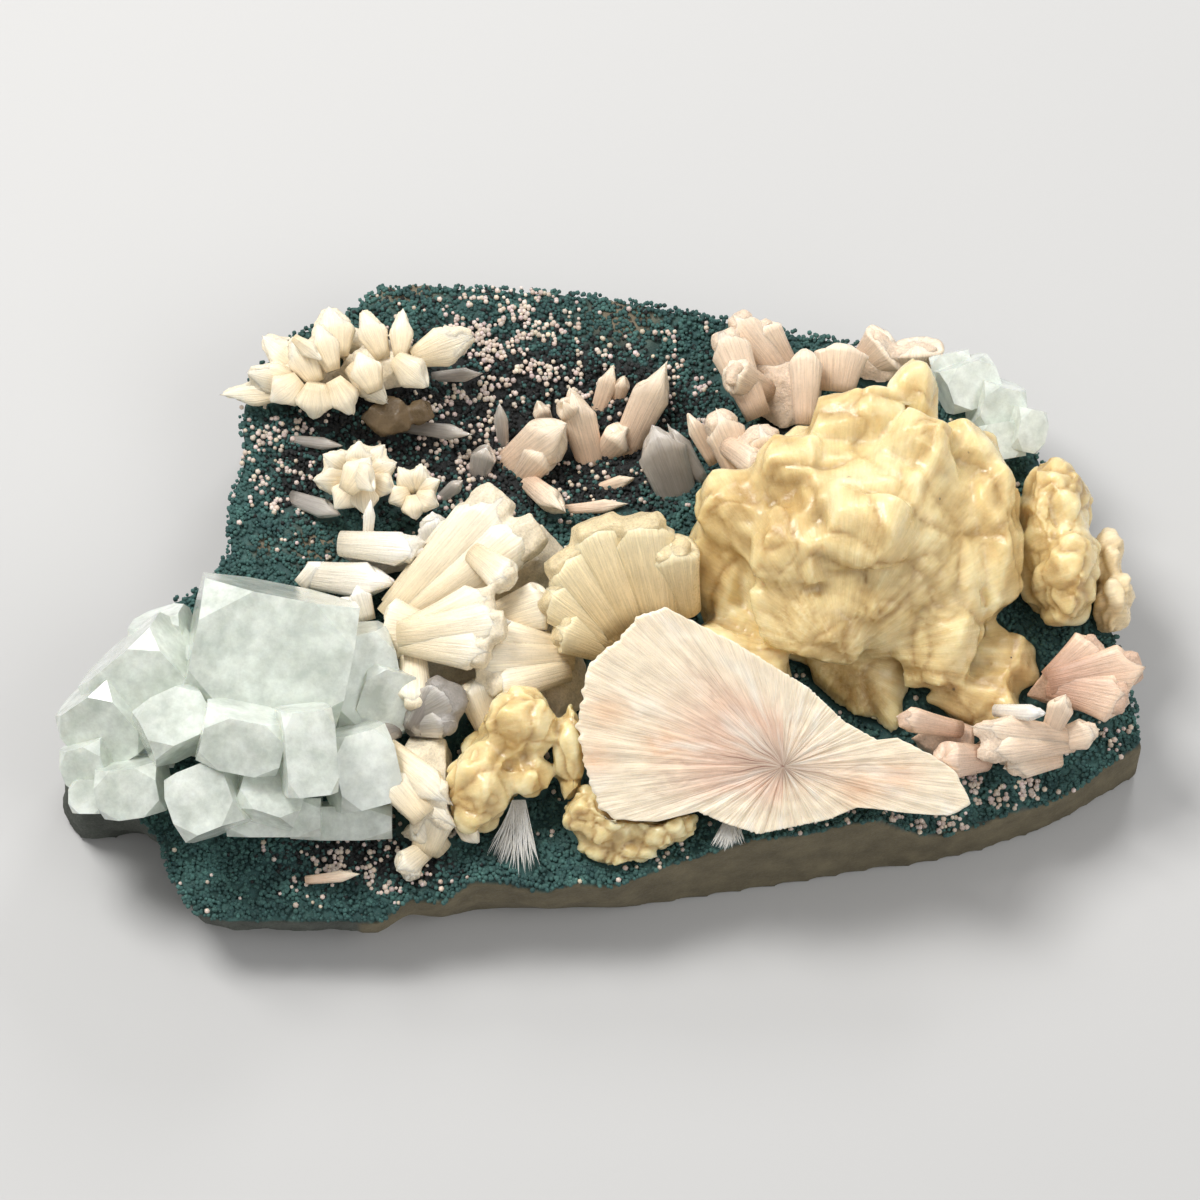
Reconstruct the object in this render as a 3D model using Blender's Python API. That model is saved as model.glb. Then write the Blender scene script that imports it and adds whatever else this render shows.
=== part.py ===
"""A zeolite specimen: stilbite and apophyllite crystals on a plate of basalt.

Metres, +Z up. The specimen lies on its flat back. Places are given in millimetres as the eye
sees them from in front and above: across, up the view, and height over the base.
"""
import math
import random

import bmesh
import bpy
from mathutils import Matrix, Vector, noise

MM = 0.001

# The eye that the places are measured from
EYE_ELEVATION = math.radians(62.0)
EYE_DISTANCE = 1200.0
AIM_HEIGHT = 30.0
CENTRE_SHIFT = (0.0, -5.5)  # moves the middle of the specimen's box over the origin

# The plate of basalt
PLATE_MIDDLE = (0.0, 0.0)
GROUND_HEIGHT = 24.0
GROUND_TILT = 0.02
HOLLOW_MIDDLE = (-12.0, 35.0)
HOLLOW_SIZE = (36.0, 24.0)
HOLLOW_DEPTH = 10.0
LUMP_HEIGHT = 2.2
LUMP_SPACING = 17.0
RIM_BAND = 0.2  # share of the way in over which the rim's heights give way to the ground's
WAIST_BULGE = 0.35

ROOT_DEPTH = 1.0  # how far a lone crystal's foot would reach under the lined face
GAP = 0.35  # between pieces that touch
MERGES = (0.00003, 0.00001, 0.000002)  # metres, the first that leaves a piece closed
SPECIMEN = "zeolite_specimen"

TOWARD_EYE = Vector((0, -math.cos(EYE_ELEVATION), math.sin(EYE_ELEVATION)))
UP_THE_VIEW = Vector((0, math.sin(EYE_ELEVATION), math.cos(EYE_ELEVATION)))
ACROSS = Vector((1, 0, 0))
AIM = Vector((0, 0, AIM_HEIGHT))
EYE = AIM + TOWARD_EYE * EYE_DISTANCE

# Rim of the plate: across, up, height, and how far the foot of the side stands in under it
RIM = (
    (-62, 69, 27, 3), (-52, 76, 28, 2), (-40, 76.5, 28, 2), (-20, 75, 28, 2), (0, 73.5, 28, 2),
    (20, 70, 28, 2), (40, 66, 27, 2), (60, 62.5, 27, 2), (80, 59, 26, 2), (94, 50, 25, 3),
    (104, 38, 24, 3), (113, 22, 24, 3), (120, 4, 23, 2), (126, -14, 22, 2), (129, -26, 20, 1),
    (130.5, -35, 17, 0), (124, -38.5, 18, 0), (116, -44.5, 15, 0), (108, -49, 14.5, 0),
    (100, -51, 16, 0), (92, -54, 15.5, 0), (84, -56.5, 14, 0), (76, -56, 19, 0),
    (68, -52.5, 29, 0), (59, -54, 29, 0), (50, -56, 28, 0), (37, -57.5, 29, 0), (29, -60, 26, 0),
    (20, -62.5, 25, 0.8), (12, -65.5, 24, 2.5), (3, -69, 23, 5), (-6, -68, 25, 5),
    (-13, -70.5, 22, 6), (-22, -68.3, 25, 5), (-31, -67.5, 26, 4), (-38, -73, 20, 6),
    (-46, -72, 22, 8), (-53, -77.8, 18, 10), (-70, -78, 18, 11), (-88, -78, 18, 11),
    (-97, -76, 18, 10), (-103, -68, 19, 8), (-106, -58, 20, 7), (-112, -51.5, 20, 4),
    (-125, -49.5, 19, -2), (-126.5, -42, 22, -5), (-127, -33, 24, -3), (-124, -21, 25, 2),
    (-119, -15.5, 25, 4), (-110, -8, 25, 5), (-102, 0.5, 25, 5), (-94, 4.5, 26, 5),
    (-89.5, 12, 26, 4), (-89.5, 23, 26, 4), (-86, 34, 27, 4), (-86.5, 45, 27, 4),
    (-84, 55, 27, 4), (-74, 64, 27, 3),
)

# How a crystal widens and thins from foot to tip: share of length, of width, of thickness
POINTED = ((0, 0.75, 0.8), (0.84, 1, 1), (1, 0.5, 0.25))
PETAL = ((0, 0.45, 0.6), (0.62, 1, 1), (1, 0.42, 0.3))
BLUNT = ((0, 0.7, 0.8), (0.9, 1, 1), (1, 0.78, 0.6))
FIVE_SIDES = ((0.5, 0.1), (0.31, 0.5), (-0.31, 0.5), (-0.5, 0.1), (0.0, -0.5))
FOOT_SIDES = ((0.5, 0.1), (-0.5, 0.1), (0.0, -0.5))

# Crystals: across, up, height of the foot; across, up, height of the tip; width, thickness, turn
ROSETTE_PETALS = (
    (-70, 54, 33, -81, 63.5, 35, 10, 5, 10), (-72, 52, 34, -85, 55, 37, 9, 5, -15),
    (-74, 50, 33, -91, 49.5, 31, 7, 4, 5), (-68, 52, 36, -74, 63.5, 41, 9, 5, 0),
    (-73.5, 63, 44, -66.5, 57.5, 42, 4.5, 3, 20), (-64, 55, 38, -68, 66.5, 43, 8, 5, 0),
    (-63, 58, 33, -65, 70.5, 37, 12, 5, 0), (-52, 58, 37, -57, 70, 42, 8, 4.5, -10),
    (-48, 58, 38, -47.5, 70, 42, 6.5, 4, 0), (-45, 58, 36, -30, 64, 38, 11, 6, 10),
    (-54, 50, 40, -58, 60, 44, 9, 6, 0), (-49, 58, 44, -41, 51, 42, 9, 7, 25),
    (-72, 53, 38, -79, 47, 35, 10, 6, 0), (-68, 52, 39, -69, 43, 33, 11, 7, 0),
    (-64, 53, 39, -59, 44, 34, 9, 6, 0), (-60, 56, 36, -51, 47, 34, 8, 6, 20),
)
ROSETTE_CORE = (
    (-71, 53, 30, 22, 17, 16, 0, 11), (-53, 56, 31, 26, 18, 18, 0, 12),
    (-63, 62, 28, 22, 12, 10, 0, 13),
)
ROSETTE_DRUSE = ((-51, 44, 29, 15, 12, 9, 0, 14), (-43, 45, 28, 8, 8, 8, 20, 15))
# Blades that stand alone: name, then crystals whose heights are over the lined face at the foot
LONE_BLADES = (
    ("grey_blade_top", ((-40, 53.5, 0, -28, 54.5, 5, 3.6, 3.2, 0),)),
    ("grey_blade_middle", ((-47, 41.5, 0, -30, 40, 6, 4, 3.4, 10),)),
    ("grey_blade_left", ((-75.5, 38.5, 0.5, -61, 37.2, 4, 3.2, 3, 0),)),
    ("grey_blade_left_low", ((-74, 24.5, 0, -62, 20.5, 6, 5, 3.5, 0),)),
    ("grey_blade_upright", ((-23, 35.5, -1, -24, 47.5, 10, 3.6, 3, 0),)),
    ("grey_blade_oval", ((-29.5, 29, -1, -27, 37.5, 7, 6.5, 4, 0),)),
    ("grey_blade_right", ((-38.5, 24, 0, -33, 29, 6, 3.6, 3, 0),)),
    ("lying_blade_hollow", ((-9, 21.6, 1.5, 7.5, 22.6, 5, 3.4, 3, 0),)),
    ("small_blade_hollow", ((-1, 26.5, 1.5, 8.5, 29.5, 5, 3.4, 3, 0),)),
    ("lying_blade_floor", ((-70.5, -67.2, 0, -57, -66, 3, 2.8, 2.6, 0),)),
    ("peach_block", ((-22, 31, -1, -8, 42.5, 14, 12.5, 9, 0), (-19, 29, 0, -12, 38, 11, 9, 8, 0))),
    ("peach_blade_left", ((-1.5, 31, -1, -7.5, 51, 15, 9, 6, 0), (-5, 42, 2, -9, 48, 14, 6, 5, 0))),
    ("peach_blade_right", ((5.5, 35, -1, 15.5, 57.5, 18, 9.5, 8, 0),)),
    ("peach_foot_block", ((1, 35, -1, 6.5, 41, 8, 8, 7, 10),)),
    ("peach_blade_top", ((-1, 44, -1, 3.5, 56.5, 9, 5, 4, 0),)),
    ("peach_blade_small", ((4, 47, -1, 6, 54, 7, 4, 3.5, 0),)),
    (
        "grey_peach_blade",
        ((19.5, 23, -1, 12, 42, 13, 12.5, 7, 0), (25, 28, 0, 16, 42, 9, 4.5, 4, 20)),
    ),
    ("pink_blade", ((-18.5, 29.5, 0, -8.5, 20.5, 13, 6, 5.5, 0),)),
    ("small_prism", ((-12, 40, -1, -15, 48, 7, 4.5, 4, 0),)),
)
FLOWER_PETALS = (
    (-58, 30, 33, -58, 38.5, 39, 8, 4.5, 0), (-57, 31, 33, -51.5, 37.5, 38, 7, 4, 0),
    (-56, 30, 33, -48.5, 33, 36, 7, 4.5, 15), (-60, 31, 33, -66.5, 35, 38, 8, 4.5, 0),
    (-60, 29, 33, -69, 28.5, 34, 8, 5, -15), (-59, 28, 35, -64, 21.5, 33, 8, 5, 0),
    (-57, 28, 36, -56, 20, 33, 8, 5, 0), (-55, 29, 35, -49, 26, 34, 7, 4.5, 20),
    (-61, 26, 40, -55, 35, 43, 9, 5, 0), (-60, 33, 41, -54, 26, 42, 8, 5, 30),
)
FLOWER_CORE = ((-58, 29, 29, 17, 15, 14, 0, 21),)
SMALL_FLOWER_PETALS = (
    (-44.5, 26, 32, -48.5, 32, 36, 6, 4, 0), (-44, 26, 32, -42.5, 33, 37, 6.5, 4, 0),
    (-44, 26, 32, -38.3, 29, 35, 6, 4, 0), (-44, 25, 34, -38.5, 22.5, 34, 6.5, 4, 0),
    (-45, 25, 34, -44, 19, 32, 7, 4.5, 0), (-46, 26, 33, -51, 23.5, 33, 6.5, 4, 0),
)
SMALL_FLOWER_CORE = ((-44.5, 25.5, 28, 10, 9, 13, 0, 22), (-46, 18.5, 26, 8, 6, 10, 0, 23))
WHITE_PRISM = (
    (-62, 13.5, 34, -40.5, 11.8, 40, 8.4, 7.5, 0), (-56, 13, 33, -54.8, 24.5, 42, 3, 2.6, 0),
    (-39, 9, 26, -40.5, 21.5, 34, 8, 5, 0), (-44, 12, 27, -36, 19.5, 33, 6, 4, 15),
)
LEFT_CRUST = ((-52, 11, 28, 26, 14, 14, 0, 24), (-60, 1, 27, 20, 12, 12, 0, 25))
CREAM_SHEAF = (
    (-70, 6, 28, -48.5, 3.5, 35, 9, 6, 0), (-57, -6, 30, -65, 0.5, 34, 7, 5, 0),
    (-56, -5, 31, -58.5, 4, 35, 6, 5, 0), (-72, 3.5, 28, -66, 9.5, 31, 5, 4, 0),
)
LONG_SHEAF = (
    (-50, -5, 32, -23, 26, 47, 13, 11, 0), (-48, -6, 32, -14, 18, 45, 12, 11, 10),
    (-50, -2, 31, -30, 22, 42, 9, 8, -10), (-30, 11, 44, -21, 4, 49, 8, 7, 0),
)
BOW_TIE_SHEAF = (
    (-47, -8, 42, -25, 0.5, 47, 9, 8, 0), (-48, -8.5, 43, -22, -6, 49, 10, 9, 0),
    (-47, -10, 42, -26, -13, 47, 9, 8, 0), (-42, -8, 41, -52, -7, 39, 14, 9, 0),
    (-45, -10, 38, -44, -27, 36, 8, 7, 0),
)
WHITE_SHEAF = ((-26, -5, 36, -11, 0, 43, 11, 7, 0),)
PALE_SHEAF = (
    (-8, -12, 34, -28, -9, 41, 9, 7, 0), (-7, -14, 34, -30.5, -15, 42, 9, 7, 0),
    (-8, -17, 34, -27, -21.5, 40, 8, 7, 0), (-25, -34, 28, -31, -19, 38, 9, 7, 0),
)
GREY_CLUSTER = (
    (-46, -29, 30, -32, -22, 41, 11, 9, 0), (-45, -30, 30, -34, -29.5, 38, 7, 7, 20),
    (-49, -31, 30, -56, -33, 34, 6, 6, 0), (-45, -31, 32, -37.5, -18, 41, 7, 6, 0),
)
PALE_LOW_SHEAF = (
    (-51, -36, 36, -35, -49, 36, 8, 7, 0), (-50, -40, 34, -34.5, -55, 32, 7, 6, 0),
    (-42, -52, 34, -51, -41, 37, 9, 5, 25),
)
CLEAR_LOW_CRYSTALS = (
    (-42, -60, 24, -38, -48.5, 33, 9, 7, 0), (-38, -60, 23, -45, -52, 31, 7, 6, 20),
    (-35, -51, 30, -29, -59, 27, 5, 4, 0),
)
SMALL_CREAM_CRYSTAL = (
    (-42, -60, 24, -49, -65, 27, 6.5, 5, 0), (-44, -62, 24, -46.5, -67.5, 24, 5, 5, 0),
)
GOLDEN_LOBES = (
    (-19, -30, 40, 21, 21, 20, 0, 31), (-29, -45, 33, 18, 28, 22, -8, 32),
    (-17, -42, 33, 13, 13, 18, 0, 33), (-7, -37, 35, 9, 27, 16, 0, 34),
    (-24, -38, 30, 20, 26, 18, 0, 35),
)
GOLDEN_SHEAF = (
    (4, -8, 40, -10, 12, 50, 13, 14, 0), (8, -6, 40, -2, 20, 54, 15, 16, 0),
    (14, -4, 42, 9, 21, 57, 14, 16, 0), (4, -10, 39, -13, 3, 46, 12, 12, 0),
    (20, -2, 40, 16, 15, 56, 12, 14, 0), (2, -12, 37, -11, -6, 43, 10, 12, 0),
)
UPPER_RIGHT_SHEAF = (
    (44, 53, 28, 32, 69, 40, 8, 6, 0), (46, 55, 28, 38, 67, 38, 7, 5, 0),
    (38, 44, 30, 29, 65, 42, 9, 7, 0), (40, 50, 29, 30.5, 55, 42, 8, 6, 0),
)
UPPER_RIGHT_BLOCKS = (
    (34, 30, 34, 27.5, 46, 44, 10, 8, 0), (27.5, 33, 31, 20.5, 45, 40, 4.5, 4, 0),
    (40, 30, 36, 38, 42.5, 46, 11, 9, 0), (31, 37, 40, 40, 31, 48, 7, 7, 20),
)
UPPER_RIGHT_COLUMNS = (
    (49, 42, 34, 50, 61, 42, 7.5, 6, 0), (57, 50, 32, 58, 62, 38, 12, 6, 0),
    (64, 57, 26, 70, 62, 34, 12, 7, 0), (76, 56, 26, 76, 61.5, 34, 12, 7, 0),
)
MASS_BODY = (62, 13, 38, 76, 66, 64, 0, 41)
# Lobes on the golden mass: across, up, how far proud; width, length, depth; turn, seed
MASS_LOBES = (
    (75, 49, 3, 17, 22, 18, 0, 42), (77, 36, 3, 22, 22, 18, 0, 43), (60, 42, 1, 30, 24, 18, 30, 44),
    (46, 30, 1, 26, 24, 20, 20, 45), (34, 20, 2, 28, 30, 22, 10, 46), (28, 8, 2, 22, 34, 26, 0, 47),
    (46, 12, 3, 26, 26, 18, 10, 48), (50, -5, 4, 36, 24, 22, -25, 49), (64, 17, 4, 28, 26, 16, 0, 50),
    (94, 14, 2, 20, 48, 28, 0, 51), (88, 34, 2, 22, 26, 20, 30, 52), (81, -8, 4, 27, 34, 18, -15, 53),
    (62, -19, 5, 32, 23, 22, -30, 54), (68, -28, 4, 14, 15, 16, 0, 55), (95, -15, 5, 25, 22, 22, 0, 56),
    (86, -29, 4, 13, 17, 18, 0, 57), (36, -8, 3, 26, 16, 24, -28, 58),
)
MASS_SKIRT = (
    (32, -16, 33, 44, 26, 26, -28, 59), (60, -32, 32, 40, 20, 20, -25, 60),
    (92, -24, 28, 30, 20, 22, 0, 88),
)
FAN_CENTRE = (44.0, -40.0)
FAN_LOW_EDGE = (-56.0, 35.0)  # up the view, height
FAN_THICKNESS = 13.0
FAN_RAY_RELIEF = 0.9
FAN_OUTLINE = (
    (3, -9.5), (9, -3), (15.5, -1), (20, -3.5), (32, -9.5), (45, -17.5), (50, -20.5), (59, -29),
    (67, -33.5), (72, -33), (80, -37), (86, -41), (90, -49), (85, -52), (75, -51.5), (68, -50.5),
    (62, -50), (55, -53), (50, -54), (38, -56.5), (30, -54), (23, -51), (13, -53.5), (3, -53),
    (-1, -50), (-4, -42), (-6.5, -30), (-5.5, -25), (-4, -16), (-1.5, -13),
)
FAN_CRUST = (
    (48, -46, 32, 46, 20, 14, 0, 64), (28, -30, 28, 56, 44, 20, -20, 65),
    (54, -26, 43, 13, 9, 12, -20, 67),
)
FRONT_CRUST = (
    (0, -52, 30, 22, 18, 18, 0, 61), (14, -54, 29, 22, 14, 16, 0, 62), (4, -60, 26, 22, 10, 9, 0, 63),
)
# Crusts that groups of crystals stand in, as rounded lumps
CENTRE_CRUST = (
    (-38, -12, 24, 50, 36, 28, 10, 91), (-18, -22, 22, 44, 46, 26, 0, 92),
    (-22, 4, 24, 46, 30, 24, 30, 93),
)
LOW_CRUST = ((-42, -44, 24, 28, 28, 22, 0, 94), (-42, -57, 22, 16, 12, 12, 0, 100))
RIGHT_FAN_CRUST = ((114, -20, 28, 28, 18, 20, 0, 97),)
LOW_RIGHT_CRUST = ((101, -35, 24, 30, 14, 20, 6, 95),)
STRIATED_CRUST = ((84, -34, 27, 22, 14, 18, -10, 96),)
UPPER_RIGHT_CRUST = ((44, 50, 26, 34, 24, 16, -10, 98), (64, 56, 26, 40, 12, 12, -5, 99))
RIGHT_COLUMNS = (
    (110, 22, 34, 20, 30, 36, 3, 71), (111.5, 6, 34, 20, 30, 36, -4, 73), (105, 14, 34, 12, 42, 28, 0, 74),
)
FAR_RIGHT_COLUMN = (
    (121, 9, 27, 11, 22, 22, -12, 76), (123, -1, 26, 12, 20, 22, -8, 77),
)
RIGHT_FAN = (
    (108, -20, 33, 121, -10.5, 39, 10, 6, 0), (108, -20, 34, 130.5, -15.5, 40, 10, 6, 0),
    (108, -20.5, 33, 127, -24.5, 38, 9, 6, 0),
)
LOW_RIGHT_SHEAF = (
    (113, -33, 31, 89, -31, 41, 7, 6, 0), (113, -34, 30, 90, -37, 39, 7, 6, 0),
    (110, -38, 27, 97, -40.5, 33, 6, 5, 0),
)
WHITE_PRISM_RIGHT = ((95, -26.5, 36, 107.5, -27.2, 45, 4, 3.8, 0),)
PINK_BLADES = (
    (108, -32, 33, 112, -22.5, 42, 6, 4, 0), (109, -34, 30, 120, -31, 36, 7, 4, 0),
)
STRIATED_PINK = ((86, -31, 34, 71.5, -28.5, 44, 6, 6, 0), (92, -38, 32, 81, -38.5, 41, 9, 8, 0))

# Blocky crystals: across, up, height; width, length, depth; turn, nod, lean; share of corner cut
APOPHYLLITES = (
    (-79.5, -12.5, 44, 37, 30, 27, -12, 6, 8, 0.3), (-93, -20, 36, 16, 16, 16, 12, -20, 25, 0.3),
    (-105, -8, 36, 13, 9, 14, 20, 15, -12, 0.25), (-108, -20, 38, 24, 22, 20, 42, 10, -20, 0.24),
    (-117, -28, 34, 18, 18, 18, 40, 12, -30, 0.24),
    (-102, -30, 46, 16, 13, 14, 28, -15, 12, 0.3), (-86, -33, 50, 19, 13, 15, -14, 16, 8, 0.28),
    (-70.5, -36, 50, 12, 20, 13, 4, 8, 14, 0.2),
    (-94, -48, 40, 15.5, 15.5, 14, 20, -8, -12, 0.3), (-80, -47, 38, 15, 13, 14, -14, -22, 12, 0.28),
    (-112, -45, 34, 15, 12, 14, 10, 10, -10, 0.3), (-122, -39, 32, 11, 11, 12, 20, 12, -20, 0.3),
    (-121.5, -47, 29, 9, 8, 12, 0, 0, -10, 0.3),
    (-58, -18, 34, 16, 22, 18, 10, 10, 15, 0.26), (-52, -22, 32, 15, 15, 16, -20, 12, 20, 0.26),
    (-58, -40, 36, 15, 18, 16, 12, 8, 18, 0.26), (-78, -52, 30, 22, 9, 14, 0, 0, 0, 0.25),
    (-62, -53, 26, 24, 8, 10, 0, 5, 0, 0.3),
)
APOPHYLLITE_CORE = (
    (-84, -26, 26, 62, 44, 26, 8, 81), (-112, -30, 24, 34, 34, 16, 30, 82),
    (-62, -34, 24, 34, 40, 20, 0, 83),
)
TOP_RIGHT_APOPHYLLITES = (
    (88, 52, 32, 13, 11, 14, 20, 10, 10, 0.28), (95, 47, 31, 11, 11, 14, -15, 12, 15, 0.28),
    (102, 41, 33, 7.5, 10.5, 10, -12, 5, 20, 0.3), (96, 38, 30, 11, 9, 10, 10, 0, 0, 0.28),
    (84, 56, 30, 10, 7, 10, 10, 5, 0, 0.28),
)
FIBRE_SPRAYS = (
    ("fibre_spray_left", (-20, -48, 28), ((-28, -61), (-24, -65), (-19, -67), (-14, -64)), 24),
    ("fibre_spray_front", (31, -52, 30), ((26, -59), (30, -60.5), (35, -58.5)), 29.5),
)


def seen_at(across, up, height):
    """The point at a height over the base that the eye sees at a place in the view."""
    through = AIM + ACROSS * across + UP_THE_VIEW * up
    sight = through - EYE
    point = EYE + sight * ((height - EYE.z) / sight.z)
    return (point + Vector((*CENTRE_SHIFT, 0))) * MM


def material(name, colour, roughness, metallic=0.0, transmission=0.0):
    made = bpy.data.materials.new(name)
    made.use_nodes = True
    shader = made.node_tree.nodes["Principled BSDF"]
    shader.inputs["Base Color"].default_value = (*colour, 1)
    shader.inputs["Roughness"].default_value = roughness
    shader.inputs["Metallic"].default_value = metallic
    shader.inputs["Transmission Weight"].default_value = transmission
    made.diffuse_color = (*colour, 1)
    return made


def mesh_object(name, shape, collection):
    """Turn a bmesh into an object in a collection."""
    mesh = bpy.data.meshes.new(name)
    shape.to_mesh(mesh)
    shape.free()
    made = bpy.data.objects.new(name, mesh)
    collection.objects.link(made)
    return made


def loft(rings, low_middle, high_middle):
    """A closed solid through rings of equal count, closed at both ends to a middle point."""
    shape = bmesh.new()
    layers = [[shape.verts.new(point) for point in ring] for ring in rings]
    count = len(rings[0])
    low_end = shape.verts.new(low_middle)
    high_end = shape.verts.new(high_middle)
    for i in range(count):
        j = (i + 1) % count
        for low, high in zip(layers, layers[1:]):
            shape.faces.new((low[i], low[j], high[j]))
            shape.faces.new((low[i], high[j], high[i]))
        shape.faces.new((layers[0][j], layers[0][i], low_end))
        shape.faces.new((layers[-1][i], layers[-1][j], high_end))
    bmesh.ops.recalc_face_normals(shape, faces=shape.faces)
    return shape


def hull(points):
    """The flat-faced solid around a set of points."""
    shape = bmesh.new()
    for point in points:
        shape.verts.new(point)
    made = bmesh.ops.convex_hull(shape, input=shape.verts)
    inside = made["geom_interior"] + made["geom_unused"]
    loose = {item for item in inside if isinstance(item, bmesh.types.BMVert)}
    bmesh.ops.delete(shape, geom=list(loose), context="VERTS")
    bmesh.ops.dissolve_limit(
        shape, angle_limit=math.radians(1.0), verts=shape.verts, edges=shape.edges
    )
    bmesh.ops.recalc_face_normals(shape, faces=shape.faces)
    return shape


def blade(row, profile=POINTED):
    """A flattened crystal from its foot to its tip, broad side to the eye before its turn."""
    foot = seen_at(*row[0:3])
    tip = seen_at(*row[3:6])
    width, thickness = row[6] * MM, row[7] * MM
    along = (tip - foot).normalized()
    broad = TOWARD_EYE - along * TOWARD_EYE.dot(along)
    broad = Matrix.Rotation(math.radians(row[8]), 3, along) @ broad.normalized()
    side = along.cross(broad)
    points = []
    for share, wide, thick in profile:
        middle = foot.lerp(tip, share)
        for u, v in FIVE_SIDES if share else FOOT_SIDES:
            points.append(middle + side * (u * wide * width) + broad * (v * thick * thickness))
    return hull(points)


def in_view(turn, nod=0.0, lean=0.0):
    """Axes across, up the view and toward the eye, turned in the view, then nodded and leaned."""
    axes = Matrix((ACROSS, UP_THE_VIEW, TOWARD_EYE)).transposed()
    turned = Matrix.Rotation(math.radians(turn), 3, "Z")
    nodded = Matrix.Rotation(math.radians(nod), 3, "X")
    leaned = Matrix.Rotation(math.radians(lean), 3, "Y")
    return axes @ turned @ nodded @ leaned


def block(row):
    """A stubby four-sided crystal with its corners cut off."""
    middle = seen_at(*row[0:3])
    half = Vector(row[3:6]) * (0.5 * MM)
    cut = row[9] * 2
    axes = in_view(*row[6:9])
    points = []
    for sx in (-1, 1):
        for sy in (-1, 1):
            for sz in (-1, 1):
                for corner in ((1 - cut, 1, 1), (1, 1 - cut, 1), (1, 1, 1 - cut)):
                    local = Vector((
                        sx * corner[0] * half.x, sy * corner[1] * half.y, sz * corner[2] * half.z
                    ))
                    points.append(middle + axes @ local)
    return hull(points)


def lump(row, count=20):
    """A rounded, flat-faceted lobe inside an ellipsoid."""
    middle = seen_at(*row[0:3])
    half = Vector(row[3:6]) * (0.5 * MM)
    axes = in_view(row[6])
    draw = random.Random(row[7])
    points = []
    for i in range(count):
        rise = 1 - 2 * (i + 0.5) / count
        round_angle = i * math.pi * (3 - math.sqrt(5)) + draw.uniform(-0.25, 0.25)
        flat = math.sqrt(1 - rise * rise)
        reach = draw.uniform(0.9, 1.0)
        local = Vector((
            flat * math.cos(round_angle) * half.x, flat * math.sin(round_angle) * half.y, rise * half.z
        ))
        points.append(middle + axes @ local * reach)
    return hull(points)


def mass_lobe(row):
    """A lobe set on the golden mass, standing proud of its body toward the eye."""
    across, up, proud, width, length, depth, turn, seed = row
    away_across = 2 * (across - MASS_BODY[0]) / MASS_BODY[3]
    away_up = 2 * (up - MASS_BODY[1]) / MASS_BODY[4]
    surface = math.sqrt(max(0.04, 1 - away_across ** 2 - away_up ** 2)) * MASS_BODY[5] / 2
    toward = surface + proud - depth / 2
    rise = toward * math.sin(EYE_ELEVATION) + (up - MASS_BODY[1]) * math.cos(EYE_ELEVATION)
    return lump((across, up, MASS_BODY[2] + rise, width, length, depth, turn, seed), 13)


def rooted(row):
    """A crystal's row with heights over the lined face at its foot made heights over the base."""
    across, up = row[0:2]
    height = GROUND_HEIGHT
    for _ in range(6):
        spot = seen_at(across, up, height) / MM
        height = ground_height(spot.x, spot.y)
    return (across, up, height + row[2] - ROOT_DEPTH, *row[3:5], height + row[5], *row[6:])


def ground_height(x, y):
    """Height of the plate's lined face, in millimetres, at a place in millimetres."""
    across = (x - HOLLOW_MIDDLE[0]) / HOLLOW_SIZE[0]
    along = (y - HOLLOW_MIDDLE[1]) / HOLLOW_SIZE[1]
    hollow = HOLLOW_DEPTH * math.exp(-across * across - along * along)
    lumps = LUMP_HEIGHT * noise.noise(Vector((x, y, 0)) / LUMP_SPACING)
    return GROUND_HEIGHT + GROUND_TILT * y - hollow + lumps


def plate(grow=0.0):
    """The basalt plate, its lined face raised and its sides pushed out by grow."""
    rim = [seen_at(across, up, height) / MM for across, up, height, _ in RIM]
    count = len(rim)
    outward = []
    for i in range(count):
        run = rim[(i + 1) % count] - rim[i - 1]
        outward.append(Vector((-run.y, run.x, 0)).normalized())
    middle = Vector((PLATE_MIDDLE[0], PLATE_MIDDLE[1], 0))
    foot = []
    waist = []
    edge = []
    for point, out, row in zip(rim, outward, RIM):
        edge.append(point + out * grow + Vector((0, 0, grow)))
        foot.append(Vector((point.x, point.y, 0)) + out * (grow - row[3]))
        waist.append(edge[-1].lerp(foot[-1], 0.5) + out * (WAIST_BULGE * abs(row[3])))
    rings = [foot, waist, edge]
    for share in (0.94, 0.78, 0.53, 0.25):
        ring = []
        for point in rim:
            x = middle.x + (point.x - middle.x) * share
            y = middle.y + (point.y - middle.y) * share
            settle = min(1.0, (1 - share) / RIM_BAND)
            height = point.z * (1 - settle) + ground_height(x, y) * settle
            ring.append(Vector((x, y, height + grow)))
        rings.append(ring)
    top = Vector((middle.x, middle.y, ground_height(middle.x, middle.y) + grow))
    return loft([[point * MM for point in ring] for ring in rings], middle * MM, top * MM)


def fan_point(across, up, depth=0.0):
    """A point on the cleaved face of the bow-tie fan, or behind it by a depth."""
    low_up, low_height = FAN_LOW_EDGE
    height = low_height + (up - low_up) * math.cos(EYE_ELEVATION)
    return seen_at(across, up, height) - TOWARD_EYE * (depth * MM)


def fan():
    """The bow-tie fan: a cleaved face with rays from one point, thinning behind."""
    centre = Vector(FAN_CENTRE)
    rings = []
    for share, depth, relief in (
        (0.35, 0.3, 0.5), (0.7, 0, 1), (0.97, 0, 1), (1, 1.6, 0), (0.8, FAN_THICKNESS, 0),
    ):
        ring = []
        for i, (across, up) in enumerate(FAN_OUTLINE):
            spot = centre.lerp(Vector((across, up)), share)
            ray = FAN_RAY_RELIEF * relief * (i % 2)
            ring.append(fan_point(spot.x, spot.y, depth + ray))
        rings.append(ring)
    return loft(rings, fan_point(*centre, 0.6), fan_point(*centre, FAN_THICKNESS))


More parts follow.
